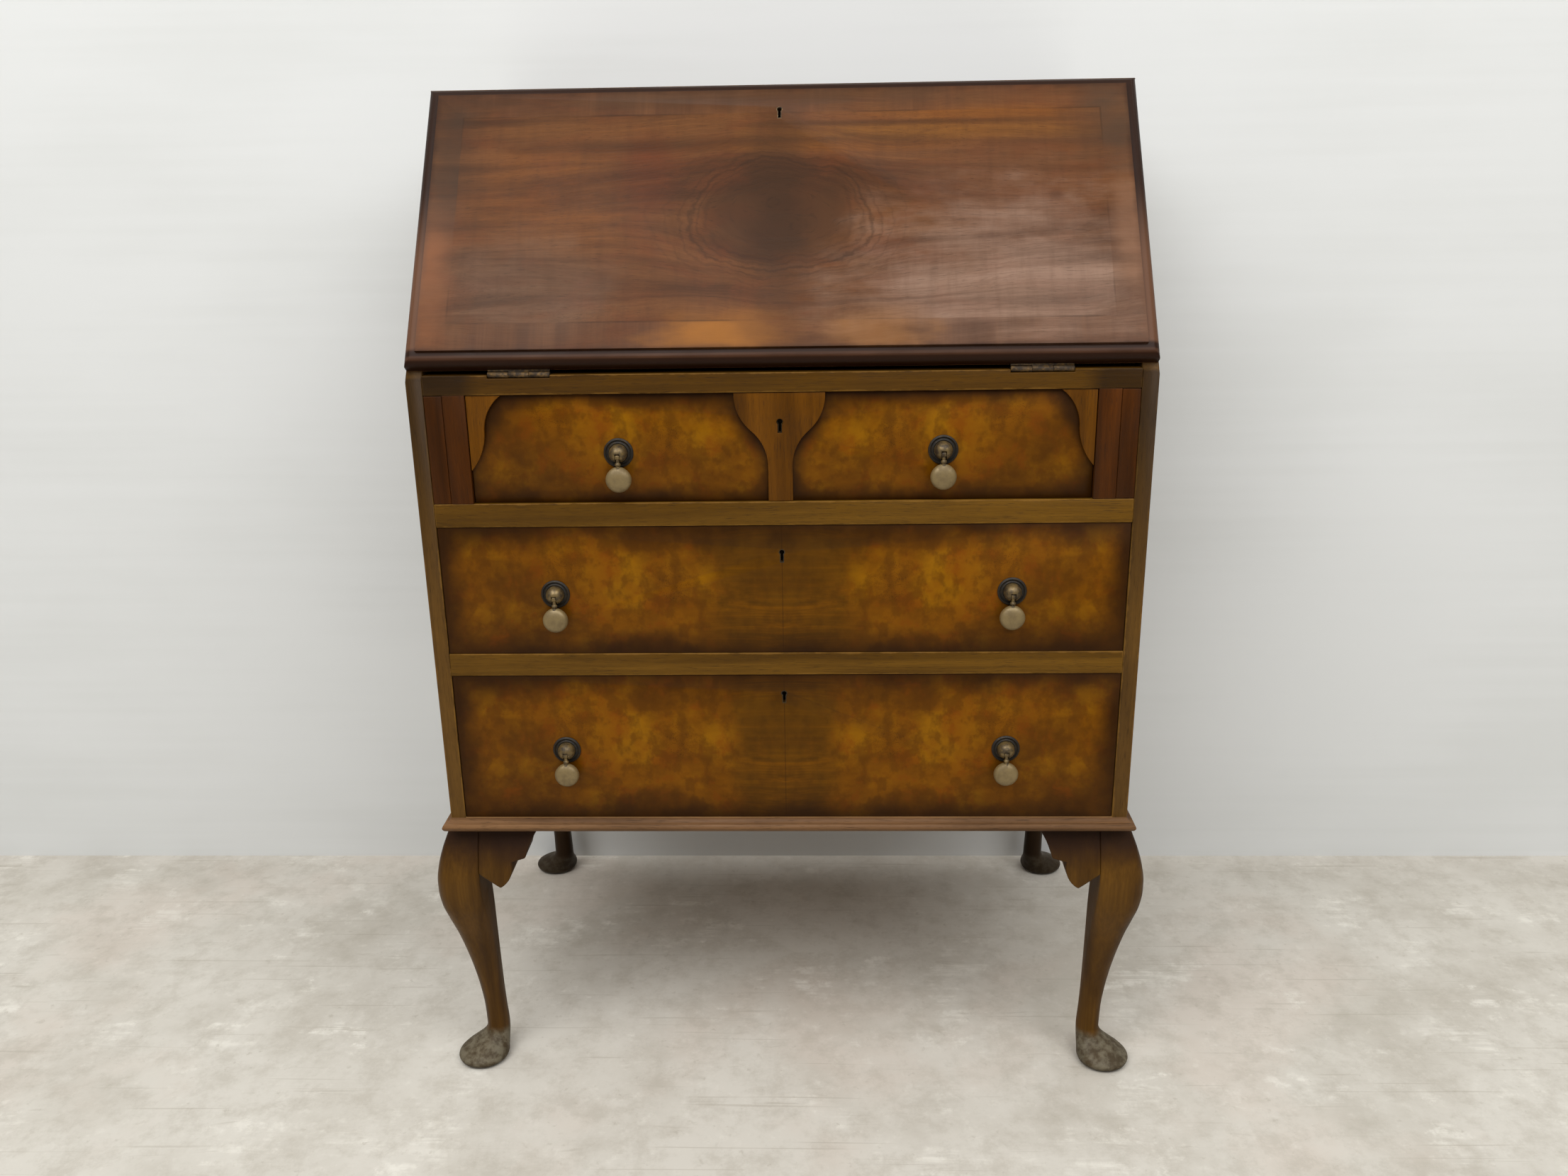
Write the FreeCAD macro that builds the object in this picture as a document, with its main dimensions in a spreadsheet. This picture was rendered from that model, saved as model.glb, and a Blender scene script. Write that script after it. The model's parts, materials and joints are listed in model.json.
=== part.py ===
import FreeCAD, Part
import math
import os
import Sketcher

# A fall-front writing bureau on cabriole legs, in millimetres.
# X runs to the right, Y to the back and Z up. The origin lies on the floor, under the middle of the whole.

# Driving dimensions: name, value, meaning.
DIMENSIONS = (
    ("carcase_width", 720, "outer width over the two ends"),
    ("carcase_depth", 457, "front edge of an end to its back edge"),
    ("upper_height", 267, "writing surface to the top surface"),
    ("side_thickness", 16, "end panels"),
    ("top_thickness", 16, "top board"),
    ("bottom_thickness", 13, "bottom board"),
    ("back_thickness", 8, "back panel"),
    ("writing_thickness", 19, "fixed writing board"),
    ("rail_thickness", 24, "rails and runners between the drawers"),
    ("rail_depth", 60, "front rails, front to back"),
    ("runner_width", 60, "runner boards, side to side"),
    ("lower_opening", 163, "height of the lower drawer opening"),
    ("middle_opening", 134.5, "height of the middle drawer opening"),
    ("upper_opening", 107.5, "height of the upper drawer and loper openings"),
    ("partition_thickness", 22, "boards between loper and upper drawer"),
    ("moulding_overhang", 8.5, "how far the base moulding stands out"),
    ("leg_height", 309.5, "floor to the underside of the carcase"),
    ("leg_setback", 22.3, "front legs behind the carcase front"),
    ("post_width", 24, "leg's outer corner plane to its inner face"),
    ("knee_reach", 25.9, "knee in front of the corner plane"),
    ("ankle_width", 25.4, "leg at its thinnest"),
    ("ankle_inset", 17.8, "ankle centre behind the corner plane"),
    ("ankle_height", 36, "ankle above the floor"),
    ("foot_diameter", 57.5, "pad foot at its widest"),
    ("foot_inset", 2.4, "foot centre behind the corner plane"),
    ("bracket_length", 72, "knee bracket along the carcase"),
    ("bracket_drop", 71.5, "knee bracket, top to scroll"),
    ("bracket_depth", 20, "knee bracket behind the corner plane"),
    ("slope_angle", 55.5, "slope of the closed fall, in degrees"),
    ("hinge_setback", 3.85, "fall's hinge axis behind the carcase front"),
    ("fall_thickness", 19, "fall, over its raised field"),
    ("fall_inset", 1, "fall's ends within the ends of the carcase"),
    ("fall_flush", 0.8, "fall's rounded upper edge below the top surface"),
    ("fall_heel", 4.8, "hinge axis to the fall's lower edge"),
    ("edge_width", 12, "moulded edge round the fall"),
    ("edge_round", 9, "radius of the moulded edge"),
    ("edge_step", 3, "height of the raised field"),
    ("fall_gap", 1, "fall's upper edge to the top board"),
    ("hinge_length", 60, "each hinge, side to side"),
    ("hinge_place", 250, "hinge centre from the middle"),
    ("leaf_width", 24, "hinge leaf from the axis"),
    ("leaf_thickness", 1.5, "hinge leaf"),
    ("knuckle_radius", 2.8, "hinge knuckle"),
    ("pin_radius", 1.25, "hinge pin"),
    ("pin_clearance", 0.05, "pin to bore, on the radius"),
    ("hinge_gap", 0.3, "between knuckles and round the leaves"),
    ("loper_width", 17.4, "loper, side to side"),
    ("loper_space", 69, "open space behind the lopers"),
    ("slide_gap", 0.3, "drawers and lopers above what carries them"),
    ("top_gap", 0.5, "drawers and lopers under what is above them"),
    ("side_gap", 0.8, "drawers beside the ends and partitions"),
    ("front_recess", 1, "drawer faces behind the carcase front"),
    ("front_thickness", 18, "drawer fronts"),
    ("drawer_space", 38, "open space behind the drawers"),
    ("box_thickness", 9, "drawer sides and backs"),
    ("box_top_gap", 4, "drawer sides below the top of the front"),
    ("back_drop", 8, "drawer back below the drawer sides"),
    ("panel_thickness", 5, "drawer bottoms"),
    ("groove_depth", 4, "grooves that hold the drawer bottoms"),
    ("groove_height", 9, "grooves above the lower edge"),
    ("applique_thickness", 3, "shaped pieces on the upper drawer"),
    ("vase_top_width", 88, "centre piece at its top"),
    ("vase_neck_width", 24, "centre piece at its neck"),
    ("vase_drop", 74, "top of the centre piece to its neck"),
    ("spandrel_width", 34, "corner piece along the top"),
    ("spandrel_drop", 74, "corner piece down the end"),
    ("lock_width", 46, "lock case, side to side"),
    ("lock_height", 42, "lock case, top to bottom"),
    ("lock_depth", 8, "lock case, front to back"),
    ("fall_keyhole_drop", 36, "fall's upper edge to its keyhole"),
    ("upper_keyhole_drop", 28.5, "top of the upper drawer to its keyhole"),
    ("middle_keyhole_drop", 27.5, "top of the middle drawer to its keyhole"),
    ("lower_keyhole_drop", 20.5, "top of the lower drawer to its keyhole"),
    ("keyhole_radius", 2.4, "keyhole's round"),
    ("keyhole_slot", 2.6, "keyhole's slot, side to side"),
    ("keyhole_height", 10, "centre of the round to the slot's foot"),
    ("liner_wall", 0.8, "brass keyhole liner, wall"),
    ("liner_depth", 3, "brass keyhole liner, front to back"),
    ("upper_handle_place", 158, "upper handles from the middle"),
    ("lower_handle_place", 229.5, "middle and lower handles from the middle"),
    ("upper_handle_drop", 4.3, "upper handles below their drawer's middle"),
    ("middle_handle_drop", 3, "middle handles below their drawer's middle"),
    ("lower_handle_drop", 2.3, "lower handles below their drawer's middle"),
    ("plate_radius", 14.6, "handle backplate"),
    ("plate_edge", 1.2, "backplate at its rim"),
    ("plate_bead", 2.6, "backplate over its bead"),
    ("plate_dish", 1.6, "backplate between bead and post"),
    ("post_radius", 9, "domed post on the backplate"),
    ("post_reach", 13, "top of the dome in front of the drawer"),
    ("drop_standoff", 9.4, "drop's pin in front of the drawer"),
    ("drop_pin_drop", 2.4, "drop's pin below the plate's centre"),
    ("drop_pin_radius", 1.25, "drop's pin"),
    ("drop_pin_clearance", 0.08, "drop's pin to its eye, on the radius"),
    ("eye_radius", 2.9, "drop's eye, outside"),
    ("eye_width", 4.4, "drop's eye, side to side"),
    ("eye_gap", 0.4, "eye to the cheeks of the post"),
    ("neck_radius", 2.1, "drop's neck at the eye"),
    ("neck_foot_radius", 4.2, "drop's neck at the bob"),
    ("bob_radius", 12.2, "drop's bob, seen from the front"),
    ("bob_depth", 13, "drop's bob, front to back"),
    ("bob_rim", 3, "flat rim round the bob"),
    ("bob_place", 24.8, "bob's centre below the plate's centre"),
    ("fitting_setback", 215, "pigeonholes behind the carcase front"),
    ("fitting_thickness", 6, "pigeonhole shelf and dividers"),
    ("small_opening", 70, "height of the small drawer openings"),
    ("centre_space", 226, "open space between the small drawers"),
    ("divider_scoop", 26, "how far a divider's front edge curves back"),
    ("small_front_thickness", 8, "small drawer fronts"),
    ("small_box_thickness", 6, "small drawer sides and backs"),
    ("small_bottom_thickness", 3, "small drawer bottoms"),
    ("small_drawer_space", 29, "open space behind the small drawers"),
    ("small_side_gap", 0.6, "small drawers beside their openings"),
    ("knob_radius", 6, "small turned knobs"),
    ("knob_reach", 13, "small turned knobs in front of the drawer"),
    ("overrun", 5, "how far a cut runs past the material"),
)

# Cabriole leg from its top to its ankle. Each station gives the height between ankle and top, the outer
# face between ankle and knee, the inner face between ankle and post, and the rounding of the outer and of
# the other corners as shares of half the section.
LEG_STATION_SHARES = (
    (1.000, 0.341, 1.00, 0.16, 0.12),
    (0.943, 0.535, 1.00, 0.26, 0.11),
    (0.886, 0.722, 1.00, 0.38, 0.11),
    (0.818, 0.890, 1.00, 0.52, 0.12),
    (0.750, 0.989, 1.00, 0.64, 0.14),
    (0.700, 1.000, 0.93, 0.70, 0.20),
    (0.640, 0.950, 0.77, 0.75, 0.30),
    (0.570, 0.795, 0.63, 0.78, 0.42),
    (0.492, 0.596, 0.55, 0.81, 0.55),
    (0.410, 0.425, 0.48, 0.84, 0.66),
    (0.311, 0.250, 0.42, 0.88, 0.77),
    (0.200, 0.100, 0.35, 0.92, 0.86),
    (0.090, 0.013, 0.20, 0.96, 0.94),
    (0.000, 0.000, 0.00, 0.98, 0.98),
)
# Stations beside which a knee bracket stands.
BRACKET_STATIONS = LEG_STATION_SHARES[:6]
# Upper part of the pad foot: height between floor and ankle, and spread between ankle and full foot.
FOOT_SPREAD_SHARES = ((0.80, 0.075), (0.64, 0.265), (0.48, 0.570), (0.34, 0.840), (0.20, 1.000))
# Under part of the pad foot: height between floor and ankle, and radius against the full foot.
FOOT_UNDER_SHARES = ((0.10, 0.96), (0.00, 0.76))
FOOT_ROUND_SHARE = 0.98
# Knee bracket's outline below its top: along its length and down its drop.
BRACKET_CURVE_SHARES = ((0.71, 0.54), (0.50, 0.60), (0.32, 1.00), (0.00, 0.78))
BRACKET_HOLLOW_SHARE = 1.2
BRACKET_SCROLL_SHARE = 0.36
# Base moulding's section: how far out and how high its nose, its quirk and its cove lie.
MOULDING_FOOT_SHARE = 0.76
MOULDING_NOSE_SHARE = 0.60
MOULDING_QUIRK_SHARE = 0.40
MOULDING_ROUND_SHARE = 0.55
MOULDING_COVE_SHARE = 0.62
# Where the two arcs of an applied piece's edge meet, across and down, and their radii over the drop.
VASE_TURN_SHARE = 0.50
VASE_ARC_SHARE = 0.62
SPANDREL_TURN_SHARES = (0.46, 0.44)
SPANDREL_ARC_SHARES = (0.60, 0.80)
# Where the rings of a handle plate lie between its post and its rim.
PLATE_BEAD_SHARE = 0.72
PLATE_DISH_SHARE = 0.30
# Where the neck of a drop ends in its bob, and the waist, the neck's place and the foot of a small knob.
NECK_SEAT_SHARE = 0.72
KNOB_WAIST_SHARE = 0.50
KNOB_NECK_SHARE = 0.40
KNOB_FOOT_SHARE = 0.68
# Heights of a pigeonhole divider's curve.
DIVIDER_CURVE_SHARES = (0.18, 0.50, 0.88)
DIVIDER_ARC_SHARE = 0.45

PIECES = []


class Size:
    """A length that holds its number and its formula in the sheet, so that both come from one sum."""

    def __init__(self, number, formula):
        self.number = number
        self.formula = formula

    @staticmethod
    def of(value):
        """Wrap a plain number, or return a size as it is."""
        if isinstance(value, Size):
            return value
        return Size(float(value), "(%r)" % float(value))

    def __add__(self, other):
        other = Size.of(other)
        return Size(self.number + other.number, "(%s + %s)" % (self.formula, other.formula))

    def __radd__(self, other):
        return Size.of(other) + self

    def __sub__(self, other):
        other = Size.of(other)
        return Size(self.number - other.number, "(%s - %s)" % (self.formula, other.formula))

    def __rsub__(self, other):
        return Size.of(other) - self

    def __mul__(self, other):
        other = Size.of(other)
        return Size(self.number * other.number, "(%s * %s)" % (self.formula, other.formula))

    def __rmul__(self, other):
        return Size.of(other) * self

    def __truediv__(self, other):
        other = Size.of(other)
        return Size(self.number / other.number, "(%s / %s)" % (self.formula, other.formula))

    def __neg__(self):
        return Size.of(0) - self


def root_of(size):
    """Square root of a size's square."""
    return Size(math.sqrt(size.number), "sqrt(%s)" % size.formula)


def cosine(angle):
    """Cosine of an angle that the sheet holds in degrees."""
    return Size(math.cos(math.radians(angle.number)), "cos(%s * 1 deg)" % angle.formula)


def sine(angle):
    """Sine of an angle that the sheet holds in degrees."""
    return Size(math.sin(math.radians(angle.number)), "sin(%s * 1 deg)" % angle.formula)


class Dimensions:
    """The driving dimensions, each read from its cell of the sheet."""

    def __init__(self, document):
        sheet = document.addObject("Spreadsheet::Sheet", "sizes")
        for row, (name, value, meaning) in enumerate(DIMENSIONS, start=1):
            sheet.set("A%d" % row, meaning)
            sheet.set("B%d" % row, str(value))
            sheet.setAlias("B%d" % row, name)
        document.recompute()
        for name, value, meaning in DIMENSIONS:
            setattr(self, name, Size(float(sheet.get(name)), "sizes." + name))


doc = FreeCAD.newDocument("writing_bureau")
d = Dimensions(doc)

# Levels and planes that several pieces share.
half_width = d.carcase_width / 2
half_inside = half_width - d.side_thickness
drops_in_front = d.drop_standoff + d.bob_depth / 2 - d.front_recess
feet_behind = d.foot_diameter / 2 - d.foot_inset
front_plane = (drops_in_front - d.carcase_depth - feet_behind) / 2
back_face = d.carcase_depth - d.back_thickness
floor_of_lower = d.leg_height + d.bottom_thickness
floor_of_rail_lower = floor_of_lower + d.lower_opening
floor_of_middle = floor_of_rail_lower + d.rail_thickness
floor_of_rail_upper = floor_of_middle + d.middle_opening
floor_of_upper = floor_of_rail_upper + d.rail_thickness
floor_of_writing = floor_of_upper + d.upper_opening
writing_level = floor_of_writing + d.writing_thickness
top_surface = writing_level + d.upper_height
top_underside = top_surface - d.top_thickness
loper_slot = d.loper_width + d.slide_gap * 2
half_upper_opening = half_inside - loper_slot - d.partition_thickness
slope_cos = cosine(d.slope_angle)
slope_sin = sine(d.slope_angle)
fall_ground = d.fall_thickness - d.edge_step
fall_top = d.edge_round + (top_surface - d.fall_flush - writing_level - d.edge_round
                           - slope_cos * (fall_ground - d.edge_round)) / slope_sin


def on_slope(along, outward):
    """Place of a point given along the closed fall from its hinge axis and outward from its inner face."""
    back = d.hinge_setback + slope_cos * along - slope_sin * outward
    up = writing_level + slope_sin * along + slope_cos * outward
    return back, up


def place(piece, x, y, z, turn=None):
    """Set a piece's placement, with y counted back from the carcase front."""
    spots = (Size.of(x), front_plane + y, Size.of(z))
    base = FreeCAD.Vector(*[spot.number for spot in spots])
    piece.Placement = FreeCAD.Placement(base, turn or FreeCAD.Rotation())
    for axis, spot in zip("xyz", spots):
        piece.setExpression("Placement.Base." + axis, spot.formula)


def keep(piece, label):
    """Name a finished sub-part and keep it for the export."""
    piece.Label = label
    PIECES.append(piece)
    return piece


def group(label, members):
    """Put like pieces into one sub-part as separate solids."""
    together = doc.addObject("Part::Compound", label)
    together.Links = members
    return keep(together, label)


def block(name, x, y, z, width, depth, height):
    """A plain board from its left, front and lower corner."""
    board = doc.addObject("Part::Box", name)
    for attribute, size in (("Length", width), ("Width", depth), ("Height", height)):
        setattr(board, attribute, size.number)
        board.setExpression(attribute, size.formula)
    place(board, x, y, z)
    return board


def new_body(name):
    """An empty body."""
    return doc.addObject("PartDesign::Body", name)


def new_sketch(body, role, offset=0):
    """A sketch on one of the body's own origin planes, moved along the plane's normal."""
    sketch = body.newObject("Sketcher::SketchObject", body.Name + "_sketch")
    plane = [feature for feature in body.Origin.OriginFeatures if feature.Role == role][0]
    sketch.AttachmentSupport = [(plane, "")]
    sketch.MapMode = "FlatFace"
    offset = Size.of(offset)
    sketch.AttachmentOffset = FreeCAD.Placement(FreeCAD.Vector(0, 0, offset.number), FreeCAD.Rotation())
    sketch.setExpression("AttachmentOffset.Base.z", offset.formula)
    return sketch


def pin_down(sketch, kind, geometry, end, size):
    """Hold one coordinate of a point at a size from the sketch's origin."""
    size = Size.of(size)
    number = sketch.addConstraint(Sketcher.Constraint(kind, -1, 1, geometry, end, size.number))
    sketch.setExpression("Constraints[%d]" % number, size.formula)


def arc_between(start, end, radius, side):
    """Arc of less than a half circle; its centre lies left of the way from start to end if side is 1."""
    way = end - start
    middle = (start + end) / 2
    across = FreeCAD.Vector(-way.y, way.x, 0)
    across.normalize()
    reach = math.sqrt(max(radius ** 2 - way.Length ** 2 / 4, 0))
    centre = middle + across * reach * side
    first, last = (start, end) if side > 0 else (end, start)
    angles = [math.atan2(point.y - centre.y, point.x - centre.x) for point in (first, last)]
    circle = Part.Circle(centre, FreeCAD.Vector(0, 0, 1), radius)
    return Part.ArcOfCircle(circle, angles[0], angles[1])


def outline(sketch, corners):
    """Closed outline through corners (x, y) or (x, y, radius, side), where the last two bend the next edge."""
    points = [FreeCAD.Vector(Size.of(c[0]).number, Size.of(c[1]).number, 0) for c in corners]
    count = len(corners)
    ends = []
    for index, corner in enumerate(corners):
        start, end = points[index], points[(index + 1) % count]
        if len(corner) == 2:
            number = sketch.addGeometry(Part.LineSegment(start, end), False)
            ends.append((number, 1, 2))
            continue
        radius, side = Size.of(corner[2]), corner[3]
        number = sketch.addGeometry(arc_between(start, end, radius.number, side), False)
        ends.append((number, 1, 2) if side > 0 else (number, 2, 1))
        held = sketch.addConstraint(Sketcher.Constraint("Radius", number, radius.number))
        sketch.setExpression("Constraints[%d]" % held, radius.formula)
    for index, corner in enumerate(corners):
        before, here = ends[index - 1], ends[index]
        sketch.addConstraint(Sketcher.Constraint("Coincident", before[0], before[2], here[0], here[1]))
        pin_down(sketch, "DistanceX", here[0], here[1], corner[0])
        pin_down(sketch, "DistanceY", here[0], here[1], corner[1])


def circle_outline(sketch, x, y, radius):
    """A full circle."""
    x, y, radius = Size.of(x), Size.of(y), Size.of(radius)
    shape = Part.Circle(FreeCAD.Vector(x.number, y.number, 0), FreeCAD.Vector(0, 0, 1), radius.number)
    number = sketch.addGeometry(shape, False)
    held = sketch.addConstraint(Sketcher.Constraint("Radius", number, radius.number))
    sketch.setExpression("Constraints[%d]" % held, radius.formula)
    pin_down(sketch, "DistanceX", number, 3, x)
    pin_down(sketch, "DistanceY", number, 3, y)


def rectangle(sketch, left, low, right, high):
    """A rectangle between two corners."""
    outline(sketch, ((left, low), (right, low), (right, high), (left, high)))


def pad(body, sketch, length, both_ways=False, backwards=False):
    """Raise a sketch by a length."""
    feature = body.newObject("PartDesign::Pad", body.Name + "_pad")
    feature.Profile = sketch
    feature.setExpression("Length", Size.of(length).formula)
    feature.Midplane = both_ways
    feature.Reversed = backwards
    return feature


def pocket(body, sketch, depth, both_ways=False, backwards=False):
    """Sink a sketch by a depth, and make sure that it takes material away."""
    doc.recompute()
    volume = body.Shape.Volume
    feature = body.newObject("PartDesign::Pocket", body.Name + "_pocket")
    feature.Profile = sketch
    feature.setExpression("Length", Size.of(depth).formula)
    feature.Midplane = both_ways
    feature.Reversed = backwards
    doc.recompute()
    if body.Shape.Volume >= volume:
        raise ValueError("A pocket of %s cuts nothing" % body.Name)
    return feature


def turned(body, sketch, axis):
    """Turn a sketch once round one of its own axes."""
    feature = body.newObject("PartDesign::Revolution", body.Name + "_turning")
    feature.Profile = sketch
    feature.ReferenceAxis = (sketch, [axis])
    feature.Angle = 360
    return feature


def section_sketch(body, height, outer, inner, outer_round_share, inner_round_share):
    """Leg section at a height: a square with rounded corners, pushed out along the diagonal."""
    sketch = new_sketch(body, "XY_Plane", height)
    half = (outer + inner) / 2
    big = half * outer_round_share
    small = half * inner_round_share
    low, high = -outer, inner
    outline(sketch, (
        (low, low + big, big, 1), (low + big, low),
        (high - small, low, small, 1), (high, low + small),
        (high, high - small, small, 1), (high - small, high),
        (low + small, high, small, 1), (low, high - small),
    ))
    return sketch


def leg_faces(outer_share, inner_share):
    """How far a leg's outer and inner faces lie from its corner plane at a station."""
    ankle_outer = d.ankle_width / 2 - d.ankle_inset
    ankle_inner = d.ankle_width / 2 + d.ankle_inset
    outer = ankle_outer + (d.knee_reach - ankle_outer) * outer_share
    inner = ankle_inner + (d.post_width - ankle_inner) * inner_share
    return outer, inner


def station_height(height_share):
    """Height of a leg station above the floor."""
    return d.ankle_height + (d.leg_height - d.ankle_height) * height_share


def cabriole_leg(label, x, y, quarter_turns):
    """Cabriole leg with its pad foot, lofted through its stations; its corner plane passes x and y."""
    body = new_body(label)
    sections = []
    for height_share, outer_share, inner_share, outer_round_share, inner_round_share in LEG_STATION_SHARES:
        outer, inner = leg_faces(outer_share, inner_share)
        height = station_height(height_share)
        sections.append(section_sketch(body, height, outer, inner, outer_round_share, inner_round_share))
    ankle_outer, ankle_inner = leg_faces(0, 0)
    foot_radius = d.foot_diameter / 2
    for height_share, spread_share in FOOT_SPREAD_SHARES:
        outer = ankle_outer + (foot_radius - d.foot_inset - ankle_outer) * spread_share
        inner = ankle_inner + (foot_radius + d.foot_inset - ankle_inner) * spread_share
        height = d.ankle_height * height_share
        sections.append(section_sketch(body, height, outer, inner, FOOT_ROUND_SHARE, FOOT_ROUND_SHARE))
    for height_share, radius_share in FOOT_UNDER_SHARES:
        outer = foot_radius * radius_share - d.foot_inset
        inner = foot_radius * radius_share + d.foot_inset
        height = d.ankle_height * height_share
        sections.append(section_sketch(body, height, outer, inner, FOOT_ROUND_SHARE, FOOT_ROUND_SHARE))
    loft = body.newObject("PartDesign::AdditiveLoft", label + "_loft")
    loft.Profile = sections[0]
    loft.Sections = sections[1:]
    loft.Ruled = True
    place(body, x, y, 0, FreeCAD.Rotation(FreeCAD.Vector(0, 0, 1), 90 * quarter_turns))
    return keep(body, label)


def knee_bracket(name, x, y, quarter_turns, hand):
    """Scrolled ear beside a knee, running to the right of its leg if hand is 1 and to the left if it is -1."""
    body = new_body(name)
    near = d.post_width
    far = d.post_width + d.bracket_length
    sections = []
    for height_share, outer_share, *rest in BRACKET_STATIONS:
        outer, inner = leg_faces(outer_share, 1)
        sketch = new_sketch(body, "XY_Plane", station_height(height_share))
        rectangle(sketch, near * hand, -outer, far * hand, d.bracket_depth)
        sections.append(sketch)
    loft = body.newObject("PartDesign::AdditiveLoft", name + "_loft")
    loft.Profile = sections[0]
    loft.Sections = sections[1:]
    loft.Ruled = True
    sketch = new_sketch(body, "XZ_Plane")
    curve = [((d.post_width + d.bracket_length * along) * hand, d.leg_height - d.bracket_drop * down)
             for along, down in BRACKET_CURVE_SHARES]
    below = station_height(BRACKET_STATIONS[-1][0]) - d.overrun
    hollow = d.bracket_length * BRACKET_HOLLOW_SHARE
    scroll = d.bracket_drop * BRACKET_SCROLL_SHARE
    outline(sketch, (
        (far * hand, d.leg_height, hollow, hand),
        curve[0],
        (curve[1][0], curve[1][1], scroll, -hand),
        curve[2],
        curve[3],
        (near * hand, below),
        ((far + d.overrun) * hand, below),
        ((far + d.overrun) * hand, d.leg_height),
    ))
    pocket(body, sketch, (d.knee_reach + d.bracket_depth) * 2, both_ways=True)
    place(body, x, y, 0, FreeCAD.Rotation(FreeCAD.Vector(0, 0, 1), 90 * quarter_turns))
    return body


def legs_and_brackets():
    """Four legs, turned so that each knee points out of its corner, and the brackets beside them."""
    rear = d.carcase_depth
    cabriole_leg("leg_front_left", -half_width, d.leg_setback, 0)
    cabriole_leg("leg_front_right", half_width, d.leg_setback, 1)
    cabriole_leg("leg_rear_right", half_width, rear, 2)
    cabriole_leg("leg_rear_left", -half_width, rear, 3)
    group("knee_brackets_front", [
        knee_bracket("bracket_front_left", -half_width, d.leg_setback, 0, 1),
        knee_bracket("bracket_front_right", half_width, d.leg_setback, 0, -1),
    ])
    group("knee_brackets_side", [
        knee_bracket("bracket_left_of_front", -half_width, d.leg_setback, 3, -1),
        knee_bracket("bracket_right_of_front", half_width, d.leg_setback, 1, 1),
        knee_bracket("bracket_left_of_rear", -half_width, rear, 3, 1),
        knee_bracket("bracket_right_of_rear", half_width, rear, 1, -1),
    ])


def side_panel(label, hand):
    """End panel, sloped in front and nicked at its top for the edge of the top board."""
    body = new_body(label)
    sketch = new_sketch(body, "YZ_Plane")
    slope_foot = writing_level - d.hinge_setback * slope_sin / slope_cos
    peak = on_slope(fall_top + d.fall_gap, 0)
    drop_to_top = peak[1] - top_underside
    nick = peak[0] + drop_to_top * slope_sin / slope_cos
    outline(sketch, (
        (0, d.leg_height),
        (d.carcase_depth, d.leg_height),
        (d.carcase_depth, top_underside),
        (nick, top_underside),
        peak,
        (0, slope_foot),
    ))
    pad(body, sketch, d.side_thickness)
    left = half_inside if hand > 0 else -half_width
    place(body, left, 0, 0)
    keep(body, label)


def top_board():
    """Top board over the two ends, its front edge square to the fall."""
    body = new_body("top_board")
    sketch = new_sketch(body, "YZ_Plane")
    edge = fall_top + d.fall_gap
    foot = on_slope(edge, 0)
    lean = slope_sin / slope_cos
    outline(sketch, (
        (foot[0] + (foot[1] - top_underside) * lean, top_underside),
        (d.carcase_depth, top_underside),
        (d.carcase_depth, top_surface),
        (foot[0] - (top_surface - foot[1]) * lean, top_surface),
    ))
    pad(body, sketch, d.carcase_width, both_ways=True)
    place(body, 0, 0, 0)
    keep(body, "top_board")


def writing_board():
    """Fixed writing board, let in at its front edge for the two hinges."""
    body = new_body("writing_board")
    sketch = new_sketch(body, "YZ_Plane")
    rectangle(sketch, 0, floor_of_writing, back_face, writing_level)
    pad(body, sketch, half_inside * 2, both_ways=True)
    leaf_end = d.hinge_setback + d.leaf_width + d.hinge_gap
    knuckle_end = d.hinge_setback + d.knuckle_radius + d.hinge_gap
    leaf_floor = writing_level - d.leaf_thickness
    knuckle_floor = writing_level - d.knuckle_radius - d.hinge_gap
    for hand in (-1, 1):
        sketch = new_sketch(body, "YZ_Plane", d.hinge_place * hand)
        outline(sketch, (
            (-d.overrun, knuckle_floor),
            (knuckle_end, knuckle_floor),
            (knuckle_end, leaf_floor),
            (leaf_end, leaf_floor),
            (leaf_end, writing_level + d.overrun),
            (-d.overrun, writing_level + d.overrun),
        ))
        pocket(body, sketch, d.hinge_length + d.hinge_gap * 2, both_ways=True)
    place(body, 0, 0, 0)
    keep(body, "writing_board")


def carcase_boards():
    """The plain boards that carry drawers, lopers and legs."""
    width = half_inside * 2
    keep(block("rail_upper", -half_inside, 0, floor_of_rail_upper, width, d.rail_depth, d.rail_thickness),
         "rail_upper")
    keep(block("rail_lower", -half_inside, 0, floor_of_rail_lower, width, d.rail_depth, d.rail_thickness),
         "rail_lower")
    keep(block("bottom_board", -half_inside, 0, d.leg_height, width, back_face, d.bottom_thickness),
         "bottom_board")
    keep(block("back_panel", -half_inside, back_face, d.leg_height, width, d.back_thickness,
               top_underside - d.leg_height), "back_panel")
    runners = []
    for name, level in (("upper", floor_of_rail_upper), ("lower", floor_of_rail_lower)):
        for side, left in (("left", -half_inside), ("right", half_inside - d.runner_width)):
            runners.append(block("runner_%s_%s" % (name, side), left, d.rail_depth, level,
                                 d.runner_width, back_face - d.rail_depth, d.rail_thickness))
    group("drawer_runners", runners)
    partitions = []
    for side, left in (("left", -half_upper_opening - d.partition_thickness), ("right", half_upper_opening)):
        partitions.append(block("partition_" + side, left, 0, floor_of_upper,
                                d.partition_thickness, back_face, d.upper_opening))
    group("loper_partitions", partitions)


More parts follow.
